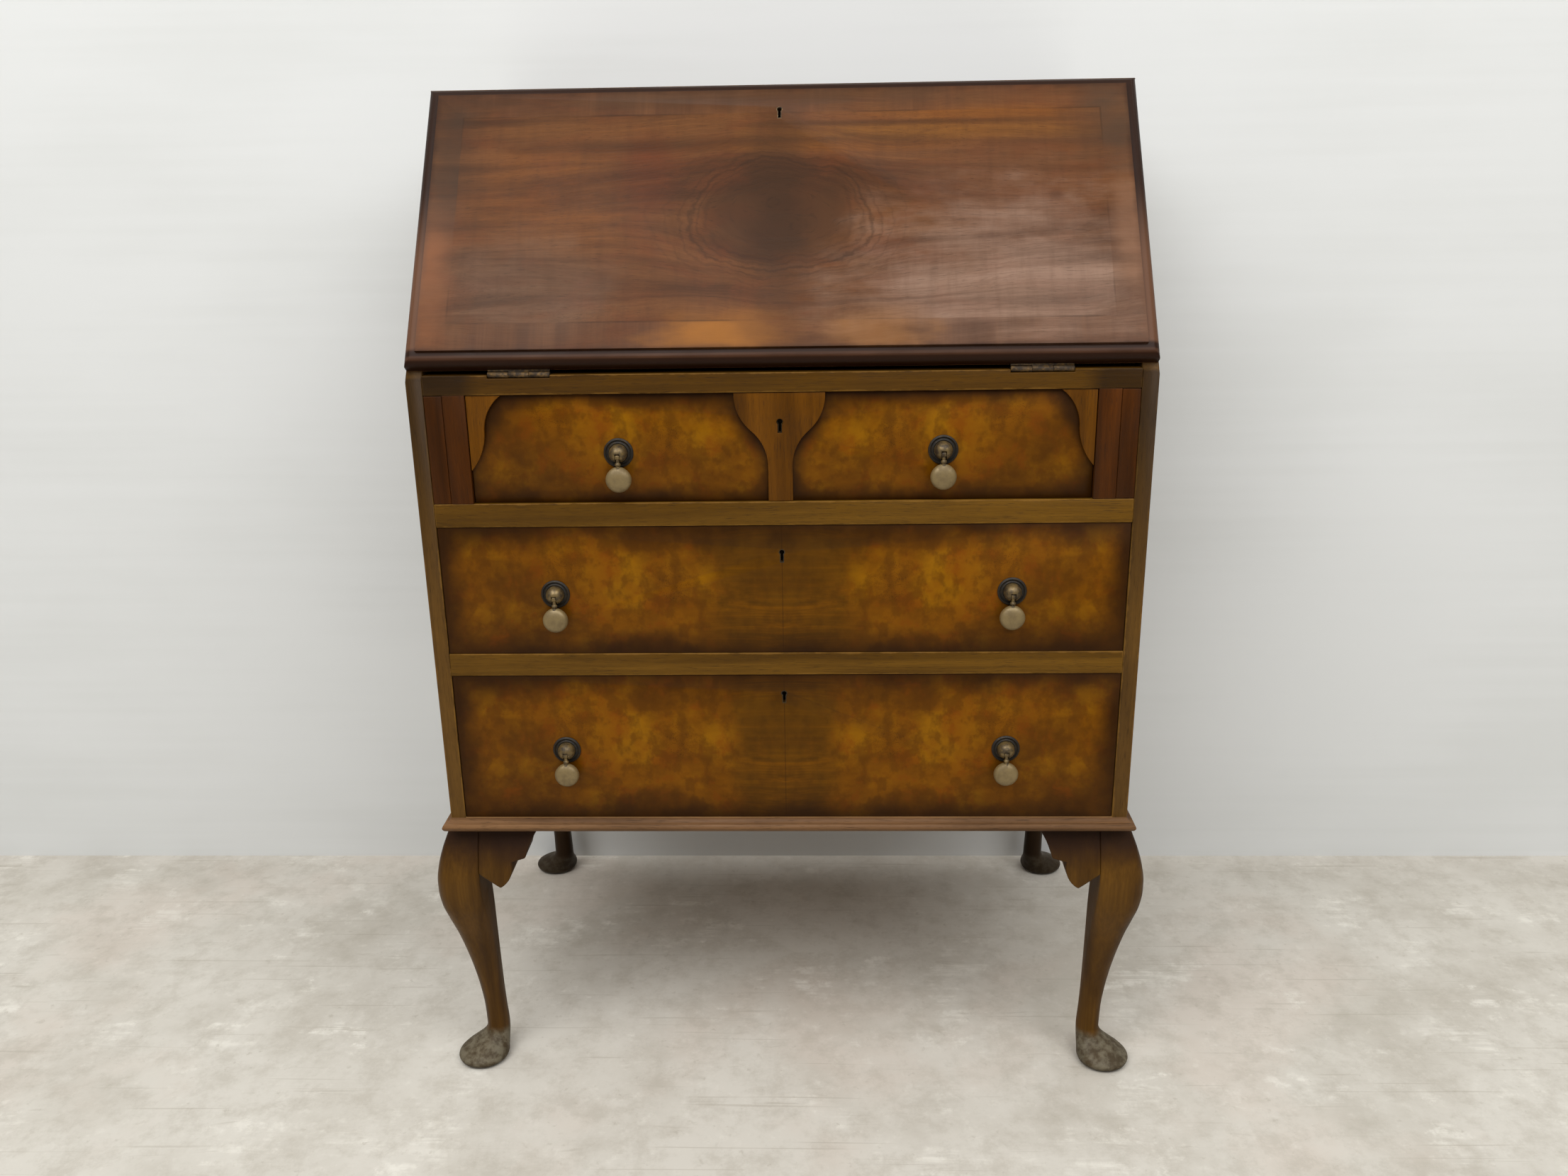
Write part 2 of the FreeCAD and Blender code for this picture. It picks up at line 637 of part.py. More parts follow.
def moulding_section(sketch, hand):
    """Section of the base moulding: a rounded nose, a quirk and a cove up to the carcase."""
    out, up = d.moulding_overhang, d.bottom_thickness
    outline(sketch, (
        (0, d.leg_height),
        (out * MOULDING_FOOT_SHARE * hand, d.leg_height, up * MOULDING_ROUND_SHARE, hand),
        (out * hand, d.leg_height + up * MOULDING_NOSE_SHARE / 2, up * MOULDING_ROUND_SHARE, hand),
        (out * MOULDING_FOOT_SHARE * hand, d.leg_height + up * MOULDING_NOSE_SHARE),
        (out * MOULDING_QUIRK_SHARE * hand, d.leg_height + up * MOULDING_NOSE_SHARE,
         up * MOULDING_COVE_SHARE, -hand),
        (0, d.leg_height + up),
    ))


def base_moulding():
    """Moulding round the foot of the carcase, mitred at its two front corners."""
    corner = half_width + d.moulding_overhang
    front = new_body("base_moulding_front")
    sketch = new_sketch(front, "YZ_Plane")
    moulding_section(sketch, -1)
    pad(front, sketch, corner * 2, both_ways=True)
    for hand in (-1, 1):
        sketch = new_sketch(front, "XY_Plane", d.leg_height)
        outline(sketch, (
            (half_width * hand, 0),
            ((corner + d.overrun) * hand, -(d.moulding_overhang + d.overrun)),
            ((corner + d.overrun) * hand, 0),
        ))
        pocket(front, sketch, (d.bottom_thickness + d.overrun) * 2, both_ways=True)
    place(front, 0, 0, 0)
    keep(front, "base_moulding_front")
    sides = []
    for name, hand in (("left", -1), ("right", 1)):
        body = new_body("base_moulding_" + name)
        sketch = new_sketch(body, "XZ_Plane", d.moulding_overhang)
        moulding_section(sketch, hand)
        pad(body, sketch, d.carcase_depth + d.moulding_overhang, backwards=True)
        sketch = new_sketch(body, "XY_Plane", d.leg_height)
        reach = d.moulding_overhang + d.overrun
        outline(sketch, (
            (0, 0),
            (-d.overrun * hand, 0),
            (-d.overrun * hand, -reach),
            (reach * hand, -reach),
        ))
        pocket(body, sketch, (d.bottom_thickness + d.overrun) * 2, both_ways=True)
        place(body, half_width * hand, 0, 0)
        sides.append(body)
    group("base_moulding_sides", sides)


def keyhole_outline(sketch, x, y, wall, up):
    """Keyhole with its round at x and y, grown all round by a wall; its slot hangs down if up is 1."""
    wall = Size.of(wall)
    radius = d.keyhole_radius + wall
    half_slot = d.keyhole_slot / 2 + wall
    reach = root_of(radius * radius - half_slot * half_slot)
    foot = y - (d.keyhole_height + wall) * up
    join = y - reach * up
    outline(sketch, (
        (x - half_slot, foot),
        (x + half_slot, foot),
        (x + half_slot, join, radius, up),
        (x, y + radius * up, radius, up),
        (x - half_slot, join),
    ))


def lock_pieces(name, height, back, face, level, keyhole):
    """Lock case and keyhole liner of a front whose upper edge is at height, as two bodies."""
    case = new_body(name + "_case")
    sketch = new_sketch(case, "XZ_Plane", -back)
    half = d.lock_width / 2
    rectangle(sketch, -half, height - d.lock_height, half, height)
    pad(case, sketch, d.lock_depth)
    sketch = new_sketch(case, "XZ_Plane", -(back - d.lock_depth))
    keyhole_outline(sketch, 0, keyhole, 0, 1)
    pocket(case, sketch, d.lock_depth / 2)
    liner = new_body(name + "_liner")
    sketch = new_sketch(liner, "XZ_Plane", -face)
    keyhole_outline(sketch, 0, keyhole, d.liner_wall, 1)
    keyhole_outline(sketch, 0, keyhole, 0, 1)
    pad(liner, sketch, d.liner_depth, backwards=True)
    for body in (case, liner):
        place(body, 0, 0, level)
    return [case, liner]


def drawer_front(label, half, height, face, back, level, keyhole):
    """Drawer front, grooved for the bottom, pierced for the key and let in behind for the lock."""
    body = new_body(label)
    sketch = new_sketch(body, "YZ_Plane")
    inner = back - d.groove_depth
    groove_top = d.groove_height + d.panel_thickness
    outline(sketch, (
        (face, 0), (back, 0), (back, d.groove_height), (inner, d.groove_height),
        (inner, groove_top), (back, groove_top), (back, height), (face, height),
    ))
    pad(body, sketch, half * 2, both_ways=True)
    sketch = new_sketch(body, "XZ_Plane", -face)
    keyhole_outline(sketch, 0, keyhole, d.liner_wall, 1)
    pocket(body, sketch, d.front_thickness + d.overrun)
    sketch = new_sketch(body, "XZ_Plane", -(back - d.lock_depth))
    side = d.lock_width / 2
    rectangle(sketch, -side, height - d.lock_height, side, height + d.overrun)
    pocket(body, sketch, d.lock_depth + d.overrun)
    place(body, 0, 0, level)
    keep(body, label)


def drawer_side(name, half, height, back, level, hand):
    """Drawer side, grooved inside for the bottom."""
    body = new_body(name)
    sketch = new_sketch(body, "XZ_Plane", -back)
    outer = half * hand
    inner = (half - d.box_thickness) * hand
    deep = (half - d.box_thickness + d.groove_depth) * hand
    groove_top = d.groove_height + d.panel_thickness
    outline(sketch, (
        (outer, 0), (outer, height), (inner, height), (inner, groove_top),
        (deep, groove_top), (deep, d.groove_height), (inner, d.groove_height), (inner, 0),
    ))
    pad(body, sketch, back_face - d.drawer_space - back, backwards=True)
    place(body, 0, 0, level)
    return body


def drawer(name, half_opening, opening, floor, face, keyhole_drop, handle_place, handle_drop):
    """One drawer: front, two sides, back, bottom, lock and backplates, with its drops."""
    half = half_opening - d.side_gap
    level = floor + d.slide_gap
    height = opening - d.slide_gap - d.top_gap
    back = d.front_recess + d.front_thickness
    rear = back_face - d.drawer_space
    side_height = height - d.box_top_gap
    inside = half - d.box_thickness
    keyhole = height - keyhole_drop
    drawer_front(name + "_drawer_front", half, height, face, back, level, keyhole)
    group(name + "_drawer_sides", [
        drawer_side(name + "_side_left", half, side_height, back, level, -1),
        drawer_side(name + "_side_right", half, side_height, back, level, 1),
    ])
    board_foot = d.groove_height + d.panel_thickness
    keep(block(name + "_drawer_back", -inside, rear - d.box_thickness, level + board_foot, inside * 2,
               d.box_thickness, side_height - d.back_drop - board_foot), name + "_drawer_back")
    keep(block(name + "_drawer_bottom", -(inside + d.groove_depth), back - d.groove_depth,
               level + d.groove_height, (inside + d.groove_depth) * 2,
               rear - back + d.groove_depth, d.panel_thickness), name + "_drawer_bottom")
    group(name + "_drawer_lock", lock_pieces(name + "_lock", height, back, face, level, keyhole))
    plates = []
    handle_level = floor + opening / 2 - handle_drop
    for side, hand in (("left", -1), ("right", 1)):
        plates.append(back_plate("%s_plate_%s" % (name, side), handle_place * hand, face, handle_level))
        pear_drop("%s_drop_%s" % (name, side), handle_place * hand, face, handle_level)
    group(name + "_drawer_plates", plates)


def back_plate(name, x, face, z):
    """Round backplate, beaded at its rim, with a domed post slotted for the eye of the drop."""
    body = new_body(name)
    sketch = new_sketch(body, "YZ_Plane")
    bead = d.post_radius + (d.plate_radius - d.post_radius) * PLATE_BEAD_SHARE
    dish = d.post_radius + (d.plate_radius - d.post_radius) * PLATE_DISH_SHARE
    shoulder = d.post_reach - d.post_radius
    outline(sketch, (
        (0, 0),
        (0, d.plate_radius),
        (-d.plate_edge, d.plate_radius),
        (-d.plate_bead, bead),
        (-d.plate_dish, dish),
        (-d.plate_dish, d.post_radius),
        (-shoulder, d.post_radius, d.post_radius, 1),
        (-d.post_reach, 0),
    ))
    turned(body, sketch, "H_Axis")
    slot_half = d.eye_width / 2 + d.eye_gap
    slot_top = -d.drop_pin_drop + d.eye_radius + d.eye_gap
    sketch = new_sketch(body, "YZ_Plane")
    rectangle(sketch, -(d.post_reach + d.overrun), -(d.post_radius + d.overrun), -d.plate_bead, slot_top)
    pocket(body, sketch, slot_half * 2, both_ways=True)
    sketch = new_sketch(body, "YZ_Plane")
    circle_outline(sketch, -d.drop_standoff, -d.drop_pin_drop, d.drop_pin_radius)
    pad(body, sketch, slot_half * 2 + d.drop_pin_radius, both_ways=True)
    place(body, x, face, z)
    return body


def bob_body(name):
    """The flattened bob of a drop: a low dome before and behind a narrow rim, turned front to back."""
    body = new_body(name)
    sketch = new_sketch(body, "YZ_Plane")
    half_depth = d.bob_depth / 2
    half_rim = d.bob_rim / 2
    rise = half_depth - half_rim
    dome = (rise * rise + d.bob_radius * d.bob_radius) / (rise * 2)
    outline(sketch, (
        (-half_depth, 0),
        (half_depth, 0, dome, 1),
        (half_rim, d.bob_radius),
        (-half_rim, d.bob_radius, dome, 1),
    ))
    turned(body, sketch, "H_Axis")
    return body


def pear_drop(label, x, face, z):
    """Pear drop: an eye round its pin, a tapered neck and a flattened bob."""
    eye = doc.addObject("Part::Cylinder", label + "_eye")
    eye.setExpression("Radius", d.eye_radius.formula)
    eye.setExpression("Height", d.eye_width.formula)
    pin_x = x - d.eye_width / 2
    pin_y = face - d.drop_standoff
    pin_z = z - d.drop_pin_drop
    across = FreeCAD.Rotation(FreeCAD.Vector(0, 1, 0), 90)
    place(eye, pin_x, pin_y, pin_z, across)
    bob = bob_body(label + "_bob")
    place(bob, x, pin_y, z - d.bob_place)
    neck = doc.addObject("Part::Cone", label + "_neck")
    neck_foot = z - d.bob_place + d.bob_radius * NECK_SEAT_SHARE
    neck_top = pin_z - d.drop_pin_radius - d.drop_pin_clearance
    for attribute, size in (("Radius1", d.neck_foot_radius), ("Radius2", d.neck_radius),
                            ("Height", neck_top - neck_foot)):
        neck.setExpression(attribute, size.formula)
    place(neck, x, pin_y, neck_foot)
    whole = doc.addObject("Part::MultiFuse", label + "_whole")
    whole.Shapes = [eye, neck, bob]
    bore = doc.addObject("Part::Cylinder", label + "_bore")
    bore.setExpression("Radius", (d.drop_pin_radius + d.drop_pin_clearance).formula)
    bore.setExpression("Height", (d.eye_width + d.overrun * 2).formula)
    place(bore, pin_x - d.overrun, pin_y, pin_z, across)
    finished = doc.addObject("Part::Cut", label)
    finished.Base = whole
    finished.Tool = bore
    return keep(finished, label)


def applied_pieces():
    """Shaped centre piece and corner pieces on the upper drawer."""
    half = half_upper_opening - d.side_gap
    height = d.upper_opening - d.slide_gap - d.top_gap
    level = floor_of_upper + d.slide_gap
    face = d.front_recess
    top_half, neck_half = d.vase_top_width / 2, d.vase_neck_width / 2
    turn_x = top_half - (top_half - neck_half) * VASE_TURN_SHARE
    turn_z = height - d.vase_drop * VASE_TURN_SHARE
    neck_z = height - d.vase_drop
    bend = d.vase_drop * VASE_ARC_SHARE
    vase = new_body("vase_piece")
    sketch = new_sketch(vase, "XZ_Plane", -face)
    outline(sketch, (
        (-neck_half, 0),
        (neck_half, 0),
        (neck_half, neck_z, bend, -1),
        (turn_x, turn_z, bend, 1),
        (top_half, height),
        (-top_half, height, bend, 1),
        (-turn_x, turn_z, bend, -1),
        (-neck_half, neck_z),
    ))
    pad(vase, sketch, d.applique_thickness, backwards=True)
    sketch = new_sketch(vase, "XZ_Plane", -face)
    keyhole_outline(sketch, 0, height - d.upper_keyhole_drop, d.liner_wall, 1)
    pocket(vase, sketch, d.applique_thickness + d.overrun)
    place(vase, 0, 0, level)
    pieces = [vase]
    for name, hand in (("left", -1), ("right", 1)):
        body = new_body("spandrel_" + name)
        sketch = new_sketch(body, "XZ_Plane", -face)
        turn_across, turn_down = SPANDREL_TURN_SHARES
        upper_bend, lower_bend = [d.spandrel_drop * share for share in SPANDREL_ARC_SHARES]
        outline(sketch, (
            (half * hand, height),
            ((half - d.spandrel_width) * hand, height, upper_bend, -hand),
            ((half - d.spandrel_width * turn_across) * hand, height - d.spandrel_drop * turn_down,
             lower_bend, hand),
            (half * hand, height - d.spandrel_drop),
        ))
        pad(body, sketch, d.applique_thickness, backwards=True)
        place(body, 0, 0, level)
        pieces.append(body)
    group("upper_drawer_applique", pieces)


def lopers():
    """The two bearers that slide out under the open fall."""
    for name, left in (("loper_left", -half_inside + d.slide_gap),
                       ("loper_right", half_inside - d.slide_gap - d.loper_width)):
        keep(block(name, left, 0, floor_of_upper + d.slide_gap, d.loper_width, back_face - d.loper_space,
                   d.upper_opening - d.slide_gap - d.top_gap), name)


def fall():
    """The fall in its own plane: X across, Y along the slope from the hinge axis, Z outward."""
    half = half_width - d.fall_inset
    body = new_body("fall_panel")
    sketch = new_sketch(body, "XY_Plane")
    rectangle(sketch, -half, d.fall_heel, half, fall_top)
    base = pad(body, sketch, fall_ground)
    doc.recompute()
    upper = ["Edge%d" % number for number, edge in enumerate(base.Shape.Edges, start=1)
             if edge.BoundBox.ZMin > fall_ground.number / 2]
    rounding = body.newObject("PartDesign::Fillet", "fall_rounding")
    rounding.Base = (base, upper)
    rounding.setExpression("Radius", d.edge_round.formula)
    sketch = new_sketch(body, "XY_Plane", fall_ground)
    rectangle(sketch, -half + d.edge_width, d.fall_heel + d.edge_width, half - d.edge_width,
              fall_top - d.edge_width)
    pad(body, sketch, d.edge_step)
    for hand in (-1, 1):
        sketch = new_sketch(body, "XY_Plane")
        reach = d.hinge_length / 2 + d.hinge_gap
        rectangle(sketch, d.hinge_place * hand - reach, d.fall_heel - d.overrun, d.hinge_place * hand + reach,
                  d.leaf_width + d.hinge_gap)
        pocket(body, sketch, d.leaf_thickness, backwards=True)
    sketch = new_sketch(body, "XY_Plane", d.fall_thickness)
    keyhole_outline(sketch, 0, fall_top - d.fall_keyhole_drop, d.liner_wall, 1)
    pocket(body, sketch, d.fall_thickness + d.overrun)
    sketch = new_sketch(body, "XY_Plane")
    side = d.lock_width / 2
    rectangle(sketch, -side, fall_top - d.lock_height, side, fall_top + d.overrun)
    pocket(body, sketch, d.lock_depth, backwards=True)
    place_on_hinge(body)
    keep(body, "fall_panel")
    fall_lock()


def place_on_hinge(body):
    """Lay a body of the fall's own plane on the slope, with its X axis on the hinge axis."""
    place(body, 0, d.hinge_setback, writing_level,
          FreeCAD.Rotation(FreeCAD.Vector(1, 0, 0), d.slope_angle.number))
    body.setExpression("Placement.Rotation.Angle", d.slope_angle.formula)


def fall_lock():
    """Lock case in the fall's inner face and the liner of its keyhole."""
    case = new_body("fall_lock_case")
    sketch = new_sketch(case, "XY_Plane")
    side = d.lock_width / 2
    rectangle(sketch, -side, fall_top - d.lock_height, side, fall_top)
    pad(case, sketch, d.lock_depth)
    sketch = new_sketch(case, "XY_Plane", d.lock_depth)
    keyhole_outline(sketch, 0, fall_top - d.fall_keyhole_drop, 0, 1)
    pocket(case, sketch, d.lock_depth / 2)
    liner = new_body("fall_lock_liner")
    sketch = new_sketch(liner, "XY_Plane", d.fall_thickness)
    keyhole_outline(sketch, 0, fall_top - d.fall_keyhole_drop, d.liner_wall, 1)
    keyhole_outline(sketch, 0, fall_top - d.fall_keyhole_drop, 0, 1)
    pad(liner, sketch, d.liner_depth, backwards=True)
    for body in (case, liner):
        place_on_hinge(body)
    group("fall_lock", [case, liner])


def hinge_leaf(name, knuckles, down):
    """Hinge leaf with its knuckles round the axis; its plate lies below its own plane if down is true."""
    body = new_body(name)
    bore = d.pin_radius + d.pin_clearance
    third = d.hinge_length / 3
    clear = d.knuckle_radius + d.hinge_gap
    sketch = new_sketch(body, "XY_Plane")
    half = d.hinge_length / 2
    if knuckles == "middle":
        tab = third / 2 - d.hinge_gap / 2
        corners = [(-half, clear), (-tab, clear), (-tab, 0), (tab, 0), (tab, clear), (half, clear),
                   (half, d.leaf_width), (-half, d.leaf_width)]
        spans = [(-tab, tab)]
    else:
        tab = third / 2 + d.hinge_gap / 2
        corners = [(-half, 0), (-tab, 0), (-tab, clear), (tab, clear), (tab, 0), (half, 0),
                   (half, d.leaf_width), (-half, d.leaf_width)]
        spans = [(-half, -tab), (tab, half)]
    outline(sketch, corners)
    pad(body, sketch, d.leaf_thickness, backwards=down)
    for start, end in spans:
        sketch = new_sketch(body, "YZ_Plane", start)
        circle_outline(sketch, 0, 0, d.knuckle_radius)
        pad(body, sketch, end - start)
    sketch = new_sketch(body, "YZ_Plane")
    circle_outline(sketch, 0, 0, bore)
    pocket(body, sketch, d.hinge_length + d.overrun * 2, both_ways=True)
    return body


def hinges():
    """Two hinges between the writing board and the fall, with their pins."""
    board_leaves, fall_leaves, pins = [], [], []
    for name, hand in (("left", -1), ("right", 1)):
        spot = d.hinge_place * hand
        leaf = hinge_leaf("board_leaf_" + name, "outer", True)
        place(leaf, spot, d.hinge_setback, writing_level)
        board_leaves.append(leaf)
        leaf = hinge_leaf("fall_leaf_" + name, "middle", False)
        place_on_hinge(leaf)
        leaf.setExpression("Placement.Base.x", spot.formula)
        fall_leaves.append(leaf)
        pin = doc.addObject("Part::Cylinder", "hinge_pin_" + name)
        pin.setExpression("Radius", d.pin_radius.formula)
        pin.setExpression("Height", d.hinge_length.formula)
        place(pin, spot - d.hinge_length / 2, d.hinge_setback, writing_level,
              FreeCAD.Rotation(FreeCAD.Vector(0, 1, 0), 90))
        pins.append(pin)
    group("hinge_board_leaves", board_leaves)
    group("hinge_fall_leaves", fall_leaves)
    group("hinge_pins", pins)


def fitting():
    """Pigeonholes over a shelf, with a small drawer under each end of it."""
    shelf_floor = writing_level + d.small_opening
    depth = back_face - d.fitting_setback
    keep(block("pigeonhole_shelf", -half_inside, d.fitting_setback, shelf_floor, half_inside * 2, depth,
               d.fitting_thickness), "pigeonhole_shelf")
    half_space = d.centre_space / 2
    group("small_drawer_partitions", [
        block("small_partition_left", -half_space - d.fitting_thickness, d.fitting_setback, writing_level,
              d.fitting_thickness, depth, d.small_opening),
        block("small_partition_right", half_space, d.fitting_setback, writing_level,
              d.fitting_thickness, depth, d.small_opening),
    ])
    shelf_top = shelf_floor + d.fitting_thickness
    rise = top_underside - shelf_top
    low_share, middle_share, high_share = DIVIDER_CURVE_SHARES
    dividers = []
    bays = 5
    pitch = (half_inside * 2 + d.fitting_thickness) / bays
    front, hollow = d.fitting_setback, d.fitting_setback + d.divider_scoop
    bend = rise * DIVIDER_ARC_SHARE
    for number in range(1, bays):
        body = new_body("divider_%d" % number)
        sketch = new_sketch(body, "YZ_Plane")
        outline(sketch, (
            (front, shelf_top),
            (back_face, shelf_top),
            (back_face, top_underside),
            (front, top_underside),
            (front, shelf_top + rise * high_share, bend, -1),
            (hollow, shelf_top + rise * middle_share, bend, -1),
            (front, shelf_top + rise * low_share),
        ))
        pad(body, sketch, d.fitting_thickness)
        place(body, -half_inside - d.fitting_thickness + pitch * number, 0, 0)
        dividers.append(body)
    group("pigeonhole_dividers", dividers)
    outer = half_inside - d.small_side_gap
    inner = half_space + d.fitting_thickness + d.small_side_gap
    small_drawer("small_drawer_left", -outer, -inner)
    small_drawer("small_drawer_right", inner, outer)


def small_drawer(name, left, right):
    """Small drawer between two places: front, box and turned knob."""
    level = writing_level + d.slide_gap
    height = d.small_opening - d.slide_gap - d.top_gap
    width = right - left
    keep(block(name + "_front", left, d.fitting_setback, level, width, d.small_front_thickness, height),
         name + "_front")
    back = d.fitting_setback + d.small_front_thickness
    length = back_face - d.small_drawer_space - back
    wall = d.small_box_thickness
    side_height = height - d.box_top_gap
    above = level + d.small_bottom_thickness
    members = [
        block(name + "_bottom", left, back, level, width, length, d.small_bottom_thickness),
        block(name + "_left", left, back, above, wall, length, side_height - d.small_bottom_thickness),
        block(name + "_right", right - wall, back, above, wall, length, side_height - d.small_bottom_thickness),
        block(name + "_back", left + wall, back + length - wall, above, width - wall * 2, wall,
              side_height - d.small_bottom_thickness),
    ]
    group(name + "_box", members)
    knob = new_body(name + "_knob")
    sketch = new_sketch(knob, "YZ_Plane")
    waist = d.knob_radius * KNOB_WAIST_SHARE
    outline(sketch, (
        (0, 0),
        (0, d.knob_radius * KNOB_FOOT_SHARE),
        (-d.knob_reach * KNOB_NECK_SHARE, waist),
        (-(d.knob_reach - d.knob_radius), d.knob_radius, d.knob_radius, 1),
        (-d.knob_reach, 0),
    ))
    turned(knob, sketch, "H_Axis")
    place(knob, (left + right) / 2, d.fitting_setback, level + height / 2)
    keep(knob, name + "_knob")


def check_document():
    """Stop if an object failed, or if a sub-part has no sound shape."""
    doc.recompute()
    for item in doc.Objects:
        if "Invalid" in item.State or "Error" in item.State:
            raise ValueError("%s failed: %s" % (item.Label, item.State))
    for piece in PIECES:
        if piece.Shape.isNull() or not piece.Shape.isValid() or not piece.Shape.Solids:
            raise ValueError("%s has no sound solid" % piece.Label)


def write_pieces():
    """Write each sub-part to its own file, named by its label."""
    os.makedirs("parts", exist_ok=True)
    for piece in PIECES:
        piece.Shape.exportStep("parts/%s.step" % piece.Label)
        print(piece.Label, len(piece.Shape.Solids), "solids, volume", round(piece.Shape.Volume))


def build():
    """Build the whole bureau."""
    legs_and_brackets()
    side_panel("side_left", -1)
    side_panel("side_right", 1)
    top_board()
    writing_board()
    carcase_boards()
    base_moulding()
    fall()
    hinges()
    lopers()
    recessed = d.front_recess + d.applique_thickness
    drawer("upper", half_upper_opening, d.upper_opening, floor_of_upper, recessed,
           d.upper_keyhole_drop, d.upper_handle_place, d.upper_handle_drop)
    drawer("middle", half_inside, d.middle_opening, floor_of_middle, d.front_recess,
           d.middle_keyhole_drop, d.lower_handle_place, d.middle_handle_drop)
    drawer("lower", half_inside, d.lower_opening, floor_of_lower, d.front_recess,
           d.lower_keyhole_drop, d.lower_handle_place, d.lower_handle_drop)
    applied_pieces()
    fitting()
    check_document()
    write_pieces()


build()
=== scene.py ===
"""Looks of a fall-front writing bureau: veneers, mouldings, cabriole legs, pear drops and its room.

Lengths are metres, X runs to the right, Y to the back and Z up, as in the frame.
"""

import json
import logging
import math
from dataclasses import dataclass, replace
from enum import Enum
from functools import cached_property
from typing import Callable, Optional, Sequence, Union

import bmesh
import bpy
import numpy as np
from mathutils import Matrix, Vector

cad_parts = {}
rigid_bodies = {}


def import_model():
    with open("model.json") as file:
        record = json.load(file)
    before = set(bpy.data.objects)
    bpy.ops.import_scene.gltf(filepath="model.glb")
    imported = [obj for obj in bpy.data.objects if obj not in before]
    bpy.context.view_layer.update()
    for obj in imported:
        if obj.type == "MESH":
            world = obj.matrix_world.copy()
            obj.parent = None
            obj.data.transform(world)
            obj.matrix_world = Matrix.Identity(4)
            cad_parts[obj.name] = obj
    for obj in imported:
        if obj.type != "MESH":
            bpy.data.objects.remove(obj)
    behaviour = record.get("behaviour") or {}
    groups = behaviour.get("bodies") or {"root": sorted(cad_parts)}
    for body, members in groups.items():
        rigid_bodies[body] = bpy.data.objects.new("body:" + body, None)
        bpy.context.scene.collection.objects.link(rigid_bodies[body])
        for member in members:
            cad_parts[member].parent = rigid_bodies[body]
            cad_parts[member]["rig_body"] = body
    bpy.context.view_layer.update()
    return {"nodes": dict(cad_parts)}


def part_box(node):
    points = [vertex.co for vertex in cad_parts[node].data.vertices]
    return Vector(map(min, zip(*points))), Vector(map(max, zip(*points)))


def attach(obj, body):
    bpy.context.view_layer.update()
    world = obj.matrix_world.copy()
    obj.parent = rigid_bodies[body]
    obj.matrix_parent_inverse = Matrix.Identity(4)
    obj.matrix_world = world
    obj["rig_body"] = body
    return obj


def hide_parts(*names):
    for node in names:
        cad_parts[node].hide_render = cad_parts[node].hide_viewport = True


logging.basicConfig(level=logging.INFO, format="%(message)s")
LOG = logging.getLogger("bureau")

Array = np.ndarray
Triple = tuple[float, float, float]
Colour = Triple

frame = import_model()

MERGE_REACH = 0.00001
FLAT_ANGLE = math.radians(0.5)
SHARP_ANGLE = math.radians(35)
WHOLE_TURN = math.pi * 2
QUARTER_TURN = math.pi / 2
ORIGIN = (0.0, 0.0, 0.0)
SIDES = ("left", "right")
DRAWERS = ("upper", "middle", "lower")


class Along(Enum):
    """Direction in which the grain of a board runs, as the turn that brings it to X."""

    WIDTH = ORIGIN
    DEPTH = (0.0, 0.0, QUARTER_TURN)
    HEIGHT = (0.0, QUARTER_TURN, 0.0)


class Body(Enum):
    """Bodies that the new pieces ride on."""

    CARCASE = "carcase"
    FALL = "fall"


class Arris(Enum):
    """Width of the rounding along a piece's sharp edges."""

    METAL = 0.0002
    MOULDING = 0.0004
    SLIGHT = 0.0006
    BOARD = 0.0008
    FRONT = 0.0009
    RUBBED = 0.0012
    CARVED = 0.0014


def srgb(*channels: float) -> Colour:
    """Turn a colour as read from a screen into linear light.

    Args:
        *channels: Red, green and blue, 0 to 255.

    Returns:
        The three linear channels.
    """
    shares = [channel / 255 for channel in channels]
    return tuple(share / 12.92 if share <= 0.04045 else ((share + 0.055) / 1.055) ** 2.4 for share in shares)


def opaque(colour: Colour) -> tuple[float, float, float, float]:
    """Give a colour its alpha of one."""
    return (*colour, 1.0)


# Node trees


